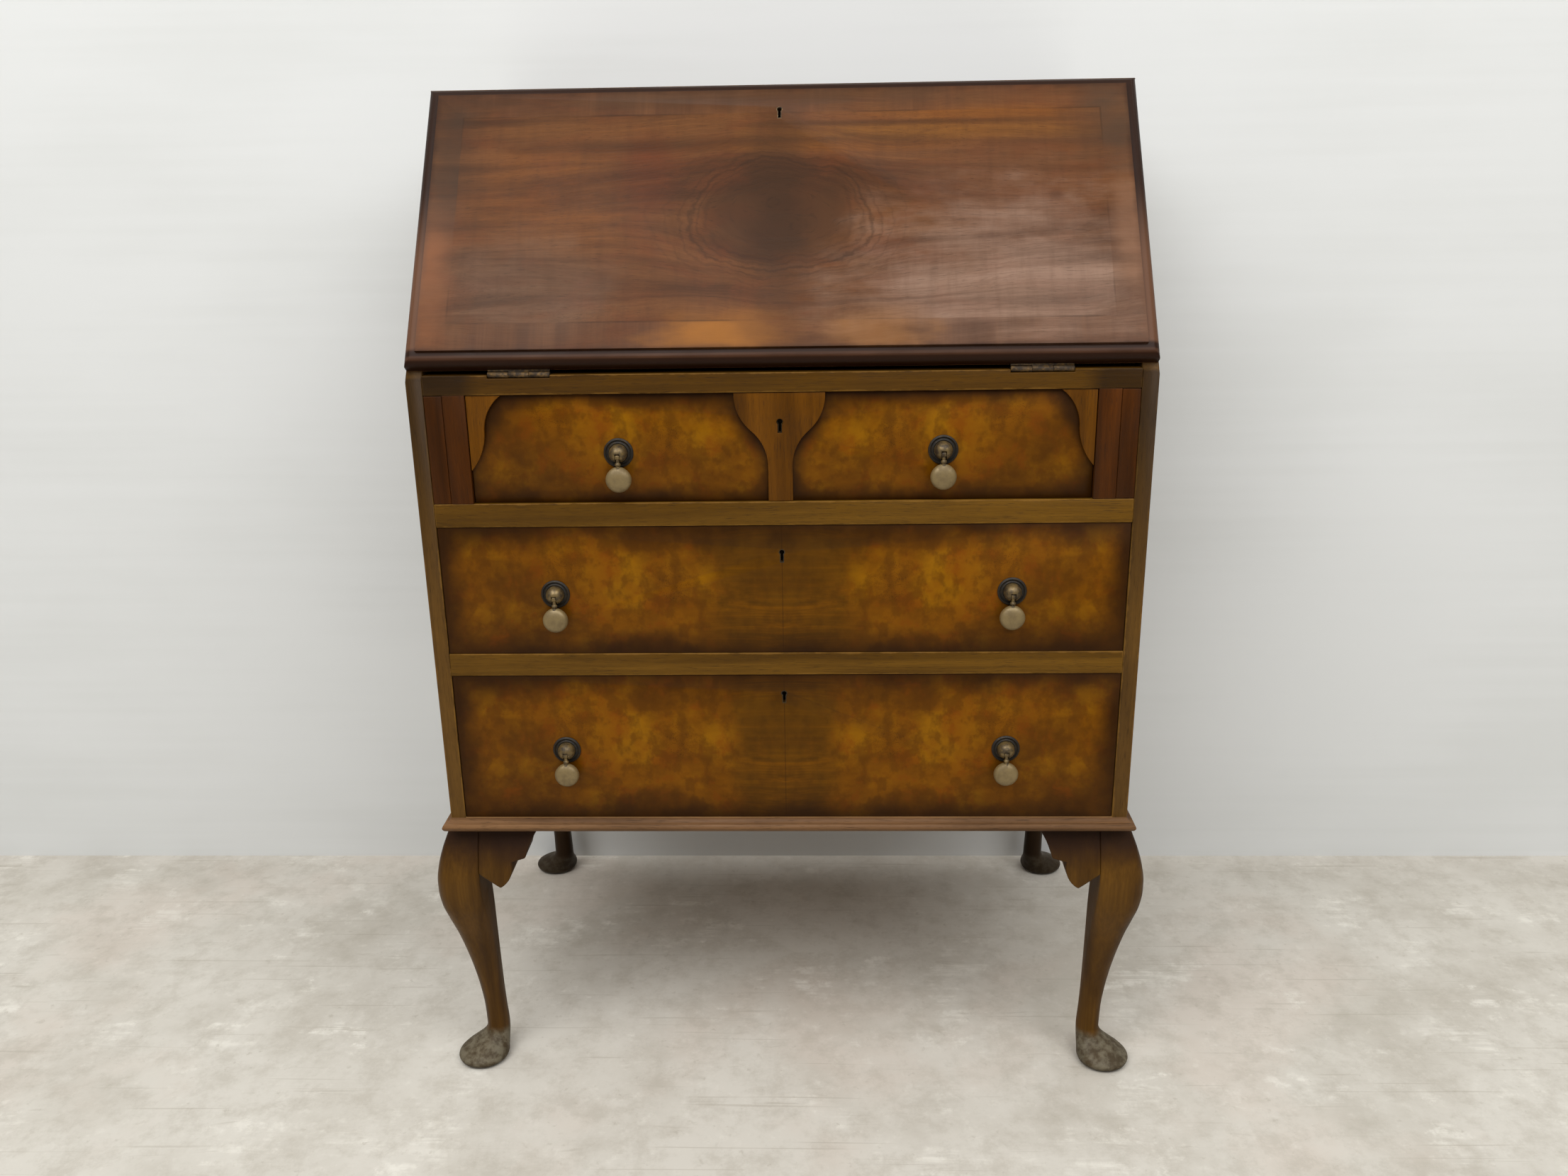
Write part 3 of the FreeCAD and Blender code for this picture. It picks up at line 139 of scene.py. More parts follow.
class Value:
    """An output socket to reckon with: every sum, ramp or noise adds a node to its tree."""

    def __init__(self, tree: "Tree", socket: bpy.types.NodeSocket) -> None:
        """Keep the tree and the socket."""
        self.tree, self.socket = tree, socket

    def maths(self, operation: str, *others: "Number") -> "Value":
        """One of Blender's sums, with this value first."""
        return self.tree.maths(operation, self, *others)

    def __add__(self, other: "Number") -> "Value":
        """The sum of both."""
        return self.maths("ADD", other)

    def __sub__(self, other: "Number") -> "Value":
        """This less the other."""
        return self.maths("SUBTRACT", other)

    def __rsub__(self, other: "Number") -> "Value":
        """The other less this."""
        return self.tree.maths("SUBTRACT", other, self)

    def __mul__(self, other: "Number") -> "Value":
        """The product of both, part by part for vectors."""
        return self.maths("MULTIPLY", other)

    def __truediv__(self, other: "Number") -> "Value":
        """This over the other, part by part for vectors."""
        return self.maths("DIVIDE", other)

    def __abs__(self) -> "Value":
        """The size without its sign."""
        return self.maths("ABSOLUTE")

    def length(self) -> "Value":
        """Length of this vector."""
        return self.tree.value("ShaderNodeVectorMath", "Value", {"operation": "LENGTH"}, in0=self)

    def parts(self) -> list["Value"]:
        """The three parts of this vector."""
        node = self.tree.add("ShaderNodeSeparateXYZ", Vector=self)
        return [Value(self.tree, part) for part in node.outputs]

    def mapped(self, **changes: Triple) -> "Value":
        """This place moved, turned or scaled, by Location, Rotation and Scale."""
        return self.tree.value("ShaderNodeMapping", "Vector", Vector=self, **changes)

    def ramp(self, low: "Number", high: "Number", start: float = 0.0, end: float = 1.0) -> "Value":
        """Map low..high to start..end with a smooth step."""
        return self.tree.value("ShaderNodeMapRange", 0, {"interpolation_type": "SMOOTHSTEP"}, Value=self,
                               From_Min=low, From_Max=high, To_Min=start, To_Max=end)

    def noise(self, scale: float, detail: float = 4.0, roughness: float = 0.55, distortion: float = 0.0,
              output: str = "Fac") -> "Value":
        """Fractal noise at this place, 0 to 1."""
        return self.tree.value("ShaderNodeTexNoise", output, Vector=self, Scale=scale, Detail=detail,
                               Roughness=roughness, Distortion=distortion)

    def ragged(self, scale: float, detail: float = 4.0, roughness: float = 0.55) -> "Value":
        """Fractal noise at this place, about zero."""
        return self.noise(scale, detail, roughness) - 0.5

    def mix(self, first: "Paint", second: "Paint") -> "Value":
        """Mix two colours, with this value as the share of the second."""
        first, second = [opaque(paint) if isinstance(paint, tuple) else paint for paint in (first, second)]
        return self.tree.value("ShaderNodeMix", 2, {"data_type": "RGBA"}, in0=self, in6=first, in7=second)

    def under(self, *layers: "Layer") -> "Value":
        """Lay colours over this one.

        Args:
            *layers: Share and colour of each layer, from the lowest up.

        Returns:
            The new colour.
        """
        colour = self
        for share, paint in layers:
            colour = share.mix(colour, paint)
        return colour


Number = Union[float, Triple, Value]
Paint = Union[Colour, Value]
Layer = tuple[Value, Paint]


class Tree:
    """A node tree that is filled in by short calls."""

    def __init__(self, tree: bpy.types.NodeTree) -> None:
        """Keep the tree and empty it."""
        self.tree = tree
        tree.nodes.clear()

    def feed(self, node: bpy.types.Node, **inputs: Number) -> bpy.types.Node:
        """Link values to a node's inputs, or write numbers and triples in them.

        Args:
            node: The node.
            **inputs: Values by the input's name, with underscores for spaces, or in1, in2 by its place.

        Returns:
            The node.
        """
        for name, value in inputs.items():
            by_place = name.startswith("in") and name[2:].isdigit()
            socket = node.inputs[int(name[2:]) if by_place else name.replace("_", " ")]
            if isinstance(value, Value):
                self.tree.links.new(value.socket, socket)
            else:
                socket.default_value = value
        return node

    def add(self, kind: str, settings: Optional[dict] = None, **inputs: Number) -> bpy.types.Node:
        """Add a node.

        Args:
            kind: Blender's name of the node's type.
            settings: Attributes of the node, such as its operation.
            **inputs: Its inputs, as for feed.

        Returns:
            The new node.
        """
        node = self.tree.nodes.new(kind)
        for name, value in (settings or {}).items():
            setattr(node, name, value)
        return self.feed(node, **inputs)

    def value(self, kind: str, output: Union[str, int], settings: Optional[dict] = None,
              **inputs: Number) -> Value:
        """Add a node and give one of its outputs, by its name or place."""
        return Value(self, self.add(kind, settings, **inputs).outputs[output])

    def maths(self, operation: str, *parts: Number) -> Value:
        """One of Blender's sums, of vectors where a part is one and else of numbers.

        Args:
            operation: Blender's name of the sum.
            *parts: What goes into it.

        Returns:
            What comes out.
        """
        kinds = [part.socket.type if isinstance(part, Value) else "VECTOR" if isinstance(part, tuple) else ""
                 for part in parts]
        kind = "ShaderNodeVectorMath" if {"VECTOR", "RGBA"} & set(kinds) else "ShaderNodeMath"
        inputs = {"in%d" % place: part for place, part in enumerate(parts)}
        return self.value(kind, 0, {"operation": operation}, **inputs)

    def join(self, across: Number, along: Number, up: Number = 0.0) -> Value:
        """A vector from three parts."""
        return self.value("ShaderNodeCombineXYZ", 0, X=across, Y=along, Z=up)


class Effect:
    """A shader node group that is drawn once and placed in each material with its own values."""

    def __init__(self, draw: Callable[..., Sequence[Value]], outputs: Sequence[str],
                 inputs: dict[str, Number]) -> None:
        """Build the group.

        Args:
            draw: Draws the effect from its place and its other inputs, and gives its outputs.
            outputs: Names of the outputs.
            inputs: Default of each input beside the place, a number or a triple.
        """
        self.group = bpy.data.node_groups.new(draw.__name__.title().replace("_", ""), "ShaderNodeTree")
        for label, value in {"Vector": ORIGIN, **inputs}.items():
            kind = "NodeSocketVector" if isinstance(value, tuple) else "NodeSocketFloat"
            socket = self.group.interface.new_socket(name=label, in_out="INPUT", socket_type=kind)
            socket.default_value = value
        for label in outputs:
            self.group.interface.new_socket(name=label, in_out="OUTPUT", socket_type="NodeSocketFloat")
        tree = Tree(self.group)
        entry = tree.add("NodeGroupInput").outputs
        drawn = draw(*[Value(tree, entry[label]) for label in ("Vector", *inputs)])
        tree.add("NodeGroupOutput", **dict(zip(outputs, drawn)))

    def __call__(self, place: Value, **inputs: Number) -> list[Value]:
        """Set the group into a tree.

        Args:
            place: Where its pattern is read.
            **inputs: Its other inputs, by name.

        Returns:
            Its outputs.
        """
        node = place.tree.add("ShaderNodeGroup", {"node_tree": self.group}, Vector=place, **inputs)
        return [Value(place.tree, socket) for socket in node.outputs]


def effect(*outputs: str, **inputs: Number) -> Callable[[Callable], Effect]:
    """Make the function below an effect with these outputs and inputs."""
    return lambda draw: Effect(draw, outputs, inputs)


@effect("Bands", "Fibre", "Pores", Sway=0.02)
def grain(place: Value, sway: Value) -> Sequence[Value]:
    """Straight walnut grain along X.

    Args:
        place: Where it is read.
        sway: How far it wanders.

    Returns:
        Broad bands, fine fibres and short dark pores, each 0 to 1.
    """
    along, across, up = place.parts()
    drift = (place * (1.9, 6.0, 6.0)).ragged(1.0, 2.0) * sway
    swayed = place.tree.join(along, across + drift, up + drift)
    bands = (swayed * (1.6, 30.0, 30.0)).noise(1.0, 6.0, 0.62, 0.4)
    fibre = (swayed * (9.0, 420.0, 420.0)).noise(1.0, 3.0, 0.6)
    pores = (swayed * (70.0, 1500.0, 1500.0)).noise(1.0, 2.0, 0.5)
    return bands.ramp(0.3, 0.7), fibre.ramp(0.25, 0.75), pores.ramp(0.56, 0.72)


@effect("Cloud", "Swirl", "Eyes")
def burr(place: Value) -> Sequence[Value]:
    """Figure of burr veneer.

    Args:
        place: Where it is read.

    Returns:
        Broad clouds, small swirls, and dark eyes that stand in clusters, each 0 to 1.
    """
    wide = place * (0.75, 1.0, 1.0)
    push = wide.noise(13.0, 3.0, 0.6, output="Color") - (0.5, 0.5, 0.5)
    pushed = wide + push * (0.045, 0.045, 0.045)
    swirl = (wide * (1.3, 1.0, 0.8)).noise(80.0)
    eyes = place.tree.value("ShaderNodeTexVoronoi", "Distance", Vector=pushed + push, Scale=120.0)
    cloud = pushed.noise(12.0, 6.0, 0.62)
    clusters = wide.noise(19.0, 3.0, 0.6).ramp(0.54, 0.68)
    return cloud.ramp(0.32, 0.68), swirl.ramp(0.28, 0.72), eyes.ramp(0.36, 0.12) * clusters


@effect("Tone", Half=(0.3, 0.0, 0.06), Reach=0.03, Waist=0.0, Flare=0.0, Corner=0.0, Turn=0.0)
def toned_edge(place: Value, half: Value, reach: Value, waist: Value, flare: Value, corner: Value,
               turn: Value) -> Sequence[Value]:
    """Darker tone that a polisher rubs in along the edges of a panel that lies in X and Z.

    The tone follows the nearest edge, rounded at the corners, and the edges of applied pieces.

    Args:
        place: Place from the panel's middle.
        half: Half the panel's size.
        reach: How far the tone reaches inwards.
        waist: Half the width of an applied piece over the middle, or zero for none.
        flare: How much it widens above the turn.
        corner: Width of the applied pieces at the upper corners.
        turn: Height over the middle at which those shapes start.

    Returns:
        The tone, 1 at the edge and 0 inside.
    """
    across, _, up = place.parts()
    across = abs(across)
    half_across, _, half_up = half.parts()
    rise = up.ramp(turn, half_up)
    nearest = half_across - across - rise * corner
    # Without a waist the middle counts as far away.
    from_middle = across - (rise * flare + waist) + waist.maths("LESS_THAN", 0.0001)
    for distance in (half_up - up, half_up + up, from_middle):
        nearest = nearest.maths("SMOOTH_MIN", distance, 0.03)
    nearest = nearest + place.ragged(13.0) * (reach * 1.5)
    return ((nearest / reach).ramp(1.1, -0.15),)


@effect("Worn", Centre=ORIGIN, Half=(0.3, 0.3, 0.3), Width=0.002)
def worn_edge(place: Value, centre: Value, half: Value, width: Value) -> Sequence[Value]:
    """Rubbed arrises of a board.

    Of the distances to the nearest face across, along and up, the middle one is small only near an edge.

    Args:
        place: Where it is read.
        centre: Middle of the board.
        half: Half its size.
        width: Width of the rubbed strip.

    Returns:
        The wear, 1 on a rubbed arris and 0 elsewhere.
    """
    first, second, third = (half - abs(place - centre)).parts()
    smaller, larger = first.maths("MINIMUM", second), first.maths("MAXIMUM", second)
    middle = smaller.maths("MAXIMUM", larger.maths("MINIMUM", third))
    ragged_width = place.noise(34.0, 5.0, 0.65).ramp(0.38, 0.68, 0.2, 1.6) * width
    return ((middle / ragged_width).ramp(1.0, 0.2),)


@effect("Patches", "Scratches")
def wear(place: Value) -> Sequence[Value]:
    """Patchy dullness and fine scratches that old polish has all over, each 0 to 1."""
    scratches = (place * (36.0, 9.0, 340.0)).noise(1.0, 2.0, 0.5, 1.2)
    return place.noise(7.0, 6.0, 0.62).ramp(0.35, 0.7), scratches.ramp(0.68, 0.76)


@effect("Mask", Centre=ORIGIN, Half=(0.1, 0.1, 1.0))
def patch(place: Value, centre: Value, half: Value) -> Sequence[Value]:
    """A soft ragged patch: the distance from its centre, over its half size, pushed about by noise.

    Args:
        place: Where it is read.
        centre: Its middle.
        half: Half its size.

    Returns:
        The mask, 1 inside the patch and 0 outside.
    """
    across, along, _ = ((place - centre) / half).parts()
    push = (place * (0.6, 1.4, 1.0)).ragged(30.0, 5.0)
    return ((push * 1.5 + place.tree.join(across, along).length()).ramp(1.35, 0.2),)


@effect("Tail", "Line", Start=0.0, Long=0.012, Pitch=0.034)
def dovetails(place: Value, start: Value, long: Value, pitch: Value) -> Sequence[Value]:
    """Dovetails in a board that stands in Y and Z: wedges that widen towards the start.

    Args:
        place: Where they are read.
        start: Where they start from the front.
        long: How deep they reach.
        pitch: From one to the next.

    Returns:
        1 inside a tail, and 1 on the joints' lines.
    """
    _, back, up = place.parts()
    into = back - start
    away = abs(((up + 10.0) / pitch).maths("FRACT") - 0.5) * pitch
    within = long * 0.5 - abs(into - long * 0.5)
    nearest = (into * -0.17 + pitch * 0.4 - away).maths("MINIMUM", within)
    return nearest.ramp(-0.0002, 0.0002), abs(nearest).ramp(0.0005, 0.0001) * within.ramp(-0.0006, -0.0003)


class Look(Tree):
    """A material with its Principled shader joined to its output."""

    def __init__(self, name: str) -> None:
        """Make the material.

        Args:
            name: Its name.
        """
        self.material = bpy.data.materials.new(name)
        self.material.use_nodes = True
        super().__init__(self.material.node_tree)
        self.shader = self.add("ShaderNodeBsdfPrincipled")
        self.output = self.add("ShaderNodeOutputMaterial", Surface=Value(self, self.shader.outputs["BSDF"]))

    def place(self, shift: Triple = ORIGIN, turn: Triple = ORIGIN) -> Value:
        """Object coordinates, shifted and then turned."""
        return (self.value("ShaderNodeTexCoord", "Object") - shift).mapped(Rotation=turn)

    def finished(self, **inputs: Number) -> bpy.types.Material:
        """Fill in the shader's inputs, named as for feed; gives the material."""
        self.feed(self.shader, **inputs)
        return self.material

    def polished(self, colour: Value, gloss: tuple[float, float], dull: Value, height: Value, coat: float,
                 depth: float = 0.0003, specular: float = 0.1) -> bpy.types.Material:
        """Finish the material as polished wood.

        Args:
            colour: Its colour.
            gloss: Roughness where the polish is good, and where it is dull.
            dull: Where it is dull.
            height: Height of the bump.
            coat: Weight of the clear polish.
            depth: Depth of the bump.
            specular: Strength of the reflection.

        Returns:
            The material.
        """
        bump = self.value("ShaderNodeBump", "Normal", Height=height, Strength=0.3, Distance=depth)
        return self.finished(Base_Color=colour, Roughness=dull.ramp(0.0, 1.0, *gloss), Normal=bump,
                             Specular_IOR_Level=specular, Coat_Weight=coat, Coat_Roughness=0.25)


def middle_of(node: str) -> tuple[Triple, Triple]:
    """Middle of a node's box and half its size."""
    low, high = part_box(node)
    return tuple((low + high) / 2), tuple((high - low) / 2)


@dataclass(frozen=True)
class WoodFinish:
    """Plain polished or bare wood.

    Attributes:
        name: Name of the material.
        light: Colour between the bands.
        dark: Colour of the bands.
        along: Direction of the grain.
        gloss: Roughness of good and of dull polish.
        coat: Weight of the clear polish.
        sway: How far the grain wanders.
        worn: Colour of rubbed arrises.
        worn_share: Strength of that colour.
        worn_width: Width of the rubbed strip.
        dirt: Colour that collects in worn patches, and of the grime and painted shade on the front edge.
        dirt_share: Strength of that colour.
        tails: Where dovetails start from the front, or None.
        shade: Axis along which the front edge darkens, partly with grime and partly with painted shade, with
            the distances at which that starts and ends, or None.
        shade_share: Strength of that darkening.
    """

    name: str
    light: Colour
    dark: Colour
    along: Along = Along.WIDTH
    gloss: tuple[float, float] = (0.42, 0.58)
    coat: float = 0.03
    sway: float = 0.02
    worn: Colour = srgb(136, 98, 40)
    worn_share: float = 0.4
    worn_width: float = 0.0018
    dirt: Colour = srgb(34, 22, 10)
    dirt_share: float = 0.3
    tails: Optional[float] = None
    shade: Optional[tuple[int, float, float]] = None
    shade_share: float = 0.75

    def material(self, board: str = "") -> bpy.types.Material:
        """Build the material.

        Args:
            board: Node whose arrises are rubbed, or nothing.

        Returns:
            The material.
        """
        look = Look("%s_%s" % (self.name, board) if board else self.name)
        place = look.place()
        bands, fibre, pores = grain(place.mapped(Rotation=self.along.value), Sway=self.sway)
        patches, _ = wear(place)
        colour = bands.mix(self.dark, self.light).under(
            (fibre * 0.35, self.dark), (pores * 0.5, self.dirt), (patches * self.dirt_share, self.dirt))
        if board:
            colour = colour.under(*self.edges(place, *middle_of(board)))
        if self.tails is not None:
            _, line = dovetails(place, Start=self.tails, Long=0.007)
            colour = colour.under((line * 0.7, self.dirt))
        return look.polished(colour, self.gloss, patches, fibre - pores, self.coat)

    def edges(self, place: Value, centre: Triple, half: Triple) -> list[Layer]:
        """Rubbed arrises of a board, and the grime and painted shade on its front edge.

        Args:
            place: Where they are read.
            centre: Middle of the board.
            half: Half its size.

        Returns:
            The layers.
        """
        worn, = worn_edge(place, Centre=centre, Half=half, Width=self.worn_width)
        layers = [(worn * self.worn_share, self.worn)]
        # Grime and painted shade: the front edge darkens towards one end.
        if self.shade:
            axis, start, end = self.shade
            parts = place.parts()
            face = centre[1] - half[1]
            front = parts[1].ramp(face + 0.004, face + 0.001)
            layers.append((abs(parts[axis]).ramp(start, end) * front * self.shade_share, self.dirt))
        return layers


@dataclass(frozen=True)
class BurrFinish:
    """Burr veneer with its edges toned dark, on a front that stands in X and Z, with a plain core behind.

    Attributes:
        name: Name of the material.
        centre: Middle of the panel.
        half: Half its width, depth and height.
        reach: How far the dark tone reaches inwards.
        seam: Half the width of the plainer stretch where two leaves meet, or zero for none.
        waist: Half the width of a shaped piece over the middle, or zero for none.
        flare: How much wider that piece is at the top.
        corner: Width of the shaped pieces at the upper corners.
        turn: Height over the middle at which those shapes start.
        light: Golden colour of the veneer.
        dark: Brown of its swirls.
        glow: Ochre of its broad light clouds.
        ember: Reddish colour of its small blotches.
        middle: Brown of the plainer stretch in the middle.
        tone: Colour of the toned edges.
        core: Plain wood behind the veneer.
        tails: Ends of the sides that are let into it.
        veneer: Thickness of the veneer.
    """

    name: str
    centre: Triple
    half: Triple
    reach: float = 0.010
    seam: float = 0.0
    waist: float = 0.0
    flare: float = 0.0
    corner: float = 0.0
    turn: float = 0.0
    light: Colour = srgb(119, 71, 0)
    dark: Colour = srgb(76, 42, 0)
    glow: Colour = srgb(138, 94, 2)
    ember: Colour = srgb(110, 54, 0)
    middle: Colour = srgb(76, 47, 1)
    tone: Colour = srgb(36, 17, 1)
    core: Colour = srgb(120, 84, 46)
    tails: Colour = srgb(176, 138, 92)
    veneer: float = 0.0012

    def material(self) -> bpy.types.Material:
        """Build the material.

        Returns:
            Veneer in front, toned at its edges, and behind it plain wood with the sides' dovetails let in.
        """
        look = Look(self.name)
        place = look.place(self.centre)
        across, depth, up = place.parts()
        across = abs(across)
        half_width, half_depth, _ = self.half
        mirrored = look.join(across, depth, up)
        cloud, swirl, eyes = burr(mirrored)
        patches, _ = wear(place)
        bands, fibre, _ = grain(mirrored, Sway=0.12)
        ochre = mirrored.noise(21.0, 4.0, 0.6).ramp(0.46, 0.66) * cloud
        red = mirrored.noise(48.0, 5.0, 0.65).ramp(0.5, 0.68)
        streaks = across.ramp(half_width * 0.55, half_width * 0.95) * bands
        colour = cloud.mix(self.dark, self.light).under(
            (ochre * 0.55, self.glow), (red * 0.6, self.ember), (swirl.ramp(0.3, 0.95, 0.0, 0.55), self.dark),
            (streaks * 0.4, self.dark), (eyes * 0.6, self.tone))
        if self.seam:
            from_seam = mirrored.ragged(15.0) * (self.seam * 1.1) + across
            level = (bands * fibre).mix(self.middle, self.light).under((swirl * 0.3, self.tone))
            colour = colour.under((from_seam.ramp(self.seam * 1.25, self.seam * 0.7) * 0.85, level),
                                  (across.ramp(0.0007, 0.0001) * 0.5, self.tone))
        tone, = toned_edge(place, Half=self.half, Reach=self.reach, Waist=self.waist, Flare=self.flare,
                           Corner=self.corner, Turn=self.turn)
        tail, line = dovetails(place, Start=half_depth - 0.012)
        at_end = across.maths("GREATER_THAN", half_width - 0.0004)
        core = bands.mix(tuple(channel * 0.7 for channel in self.core), self.core).under(
            (tail * at_end * 0.6, self.tails), (line * at_end * 0.7, self.tone))
        behind = depth.maths("GREATER_THAN", self.veneer - half_depth)
        colour = colour.under((tone * 0.92, self.tone), (behind, core))
        return look.polished(colour, (0.4, 0.55), patches, swirl, 0.02, 0.0002)


@dataclass(frozen=True)
class Figure:
    """A patch of the fall's figure, or of painted sheen on it.

    Attributes:
        centre: Its place across and along the slope.
        half: Half its size both ways.
        colour: Its colour.
        share: Its strength.
    """

    centre: tuple[float, float]
    half: tuple[float, float]
    colour: Colour
    share: float

    def layer(self, flat: Value, streaks: Value) -> Layer:
        """The patch as a layer that is broken up by streaks."""
        mask, = patch(flat, Centre=(*self.centre, 0.0), Half=(*self.half, 1.0))
        return mask * streaks.ramp(0.0, 1.0, 0.45 * self.share, self.share), self.colour


@dataclass(frozen=True)
class FallFinish:
    """Figured veneer of the fall: an oval figure in a field of wavy grain, inside a crossbanded border.

    Attributes:
        axis_place: A point on the hinge axis.
        slope: Slope of the closed fall, in radians.
        half_width: Half the fall's width.
        length: From the hinge axis to the upper edge.
        heel: From the hinge axis to the lower edge.
        edge: Width of the dark moulded edge.
        band: Width of the crossbanding inside it.
        oval_place: Centre of the oval, along the slope.
        oval_half: Half width and half height of the oval's rim.
        rings: Radius, width and strength of the faint rings round the rim.
        field_dark: Dark bands of the field.
        field_light: Its light bands.
        field_red: Its reddish mottling.
        oval_dark: Colour of the oval, its rings and the dark lines.
        band_light: Light stripes of the crossbanding.
        band_dark: Its dark stripes.
        edge_dark: Colour of the moulded edge.
        edge_rubbed: That colour where hands have rubbed it, and of the painted highlight along the lip.
        inner_light: Light bands of the inner face.
        inner_dark: Its dark bands.
        field_figures: Patches in the field, two of them painted sheen.
        band_figures: Patches in the crossbanding.
    """

    axis_place: Triple
    slope: float
    half_width: float
    length: float
    heel: float = 0.0048
    edge: float = 0.012
    band: float = 0.028
    oval_place: float = 0.160
    oval_half: tuple[float, float] = (0.086, 0.060)
    rings: tuple[Triple, ...] = (
        (0.84, 0.04, 0.2), (0.95, 0.03, 0.25), (1.04, 0.04, 0.42), (1.15, 0.03, 0.22), (1.30, 0.03, 0.14),
        (1.46, 0.03, 0.1),
    )
    field_dark: Colour = srgb(60, 34, 16)
    field_light: Colour = srgb(106, 66, 34)
    field_red: Colour = srgb(96, 50, 22)
    oval_dark: Colour = srgb(34, 20, 8)
    band_light: Colour = srgb(104, 68, 42)
    band_dark: Colour = srgb(70, 44, 28)
    edge_dark: Colour = srgb(38, 20, 10)
    edge_rubbed: Colour = srgb(92, 62, 44)
    inner_light: Colour = srgb(140, 98, 60)
    inner_dark: Colour = srgb(100, 66, 40)
    field_figures: tuple[Figure, ...] = (
        Figure((-0.225, 0.175), (0.095, 0.070), srgb(112, 64, 20), 0.65),
        Figure((-0.130, 0.210), (0.032, 0.060), srgb(92, 38, 14), 0.60),
        Figure((0.150, 0.252), (0.180, 0.014), srgb(120, 76, 26), 0.75),
        Figure((0.190, 0.272), (0.130, 0.010), srgb(116, 68, 22), 0.65),
        Figure((-0.100, 0.240), (0.210, 0.010), srgb(44, 26, 10), 0.60),
        Figure((0.120, 0.263), (0.200, 0.004), srgb(56, 32, 14), 0.60),
        Figure((0.180, 0.238), (0.140, 0.004), srgb(64, 36, 18), 0.50),
        Figure((0.060, 0.236), (0.150, 0.007), srgb(118, 70, 26), 0.65),
        Figure((-0.170, 0.262), (0.150, 0.018), srgb(100, 62, 28), 0.60),
        Figure((-0.290, 0.270), (0.045, 0.006), srgb(40, 24, 14), 0.70),
        # Painted sheen: a greyish patch at the lower left.
        Figure((-0.250, 0.080), (0.090, 0.060), srgb(100, 78, 62), 0.70),
        Figure((0.225, 0.165), (0.100, 0.080), srgb(98, 64, 42), 0.75),
        # Painted sheen: a pale grey patch at the lower right.
        Figure((0.240, 0.075), (0.190, 0.100), srgb(148, 122, 106), 0.68),
        Figure((0.000, 0.170), (0.034, 0.150), srgb(54, 34, 16), 0.75),
        Figure((0.270, 0.177), (0.008, 0.007), srgb(66, 38, 22), 0.60),
    )
    band_figures: tuple[Figure, ...] = (
        Figure((-0.338, 0.085), (0.022, 0.075), srgb(124, 76, 44), 0.95),
        Figure((-0.052, 0.030), (0.070, 0.030), srgb(146, 92, 32), 0.95),
        Figure((0.094, 0.030), (0.052, 0.030), srgb(138, 90, 38), 0.90),
        Figure((0.338, 0.145), (0.018, 0.070), srgb(126, 90, 66), 0.80),
        Figure((-0.330, 0.242), (0.040, 0.085), srgb(50, 38, 28), 0.90),
        Figure((0.330, 0.262), (0.050, 0.060), srgb(60, 46, 34), 0.90),
        Figure((0.000, 0.296), (0.280, 0.014), srgb(70, 48, 30), 0.80),
    )

    def material(self) -> bpy.types.Material:
        """Build the material.

        The distance from the oval's centre, 1 on its rim, is pushed about by noise. The grain runs across and
        swings round the oval: its place along the slope is pushed away from the oval's middle by a share that
        falls with the square of that distance.

        Returns:
            The material.
        """
        look = Look("fall_veneer")
        place = look.place(self.axis_place, (-self.slope, 0.0, 0.0))
        across, along, out = place.parts()
        flat = look.join(across, along)
        patches, _ = wear(place)
        from_middle = along - self.oval_place
        radius = look.join(across / self.oval_half[0], from_middle / self.oval_half[1]).length()
        radius = flat.ragged(13.0, 5.0, 0.6) * 0.65 + radius
        bend = from_middle / (radius * radius + 0.5)
        bands, fibre, pores = grain(look.join(across, bend * -0.7 + along), Sway=0.075)
        mottle = (flat * (0.5, 1.0, 1.0)).noise(26.0, 6.0, 0.65, 0.8)
        stripe = (flat * (85.0, 14.0, 1.0)).noise(1.0, 4.0, 0.6)
        colour = bands.mix(self.field_dark, self.field_light).under(
            (mottle.ramp(0.42, 0.72, 0.0, 0.6), self.field_red),
            *[figure.layer(flat, bands) for figure in self.field_figures],
            (radius.ramp(1.08, 0.6, 0.0, 0.58), self.oval_dark),
            *[(abs(radius - ring).ramp(width, 0.0, 0.0, share), self.oval_dark)
              for ring, width, share in self.rings],
            (stripe.ramp(0.4, 0.75, 0.0, 0.2), self.field_dark), (fibre * 0.25, self.field_dark),
            (pores * 0.35, self.oval_dark))
        colour = colour.under(*self.border(across, along, flat))
        # The inner face is plain veneer.
        inner = bands.ramp(0.0, 1.0).mix(self.inner_dark, self.inner_light)
        inner = inner.under((pores * 0.4, self.inner_dark))
        colour = colour.under((out.maths("LESS_THAN", 0.0006), inner))
        return look.polished(colour, (0.38, 0.5), patches, fibre, 0.03, 0.0002, 0.09)

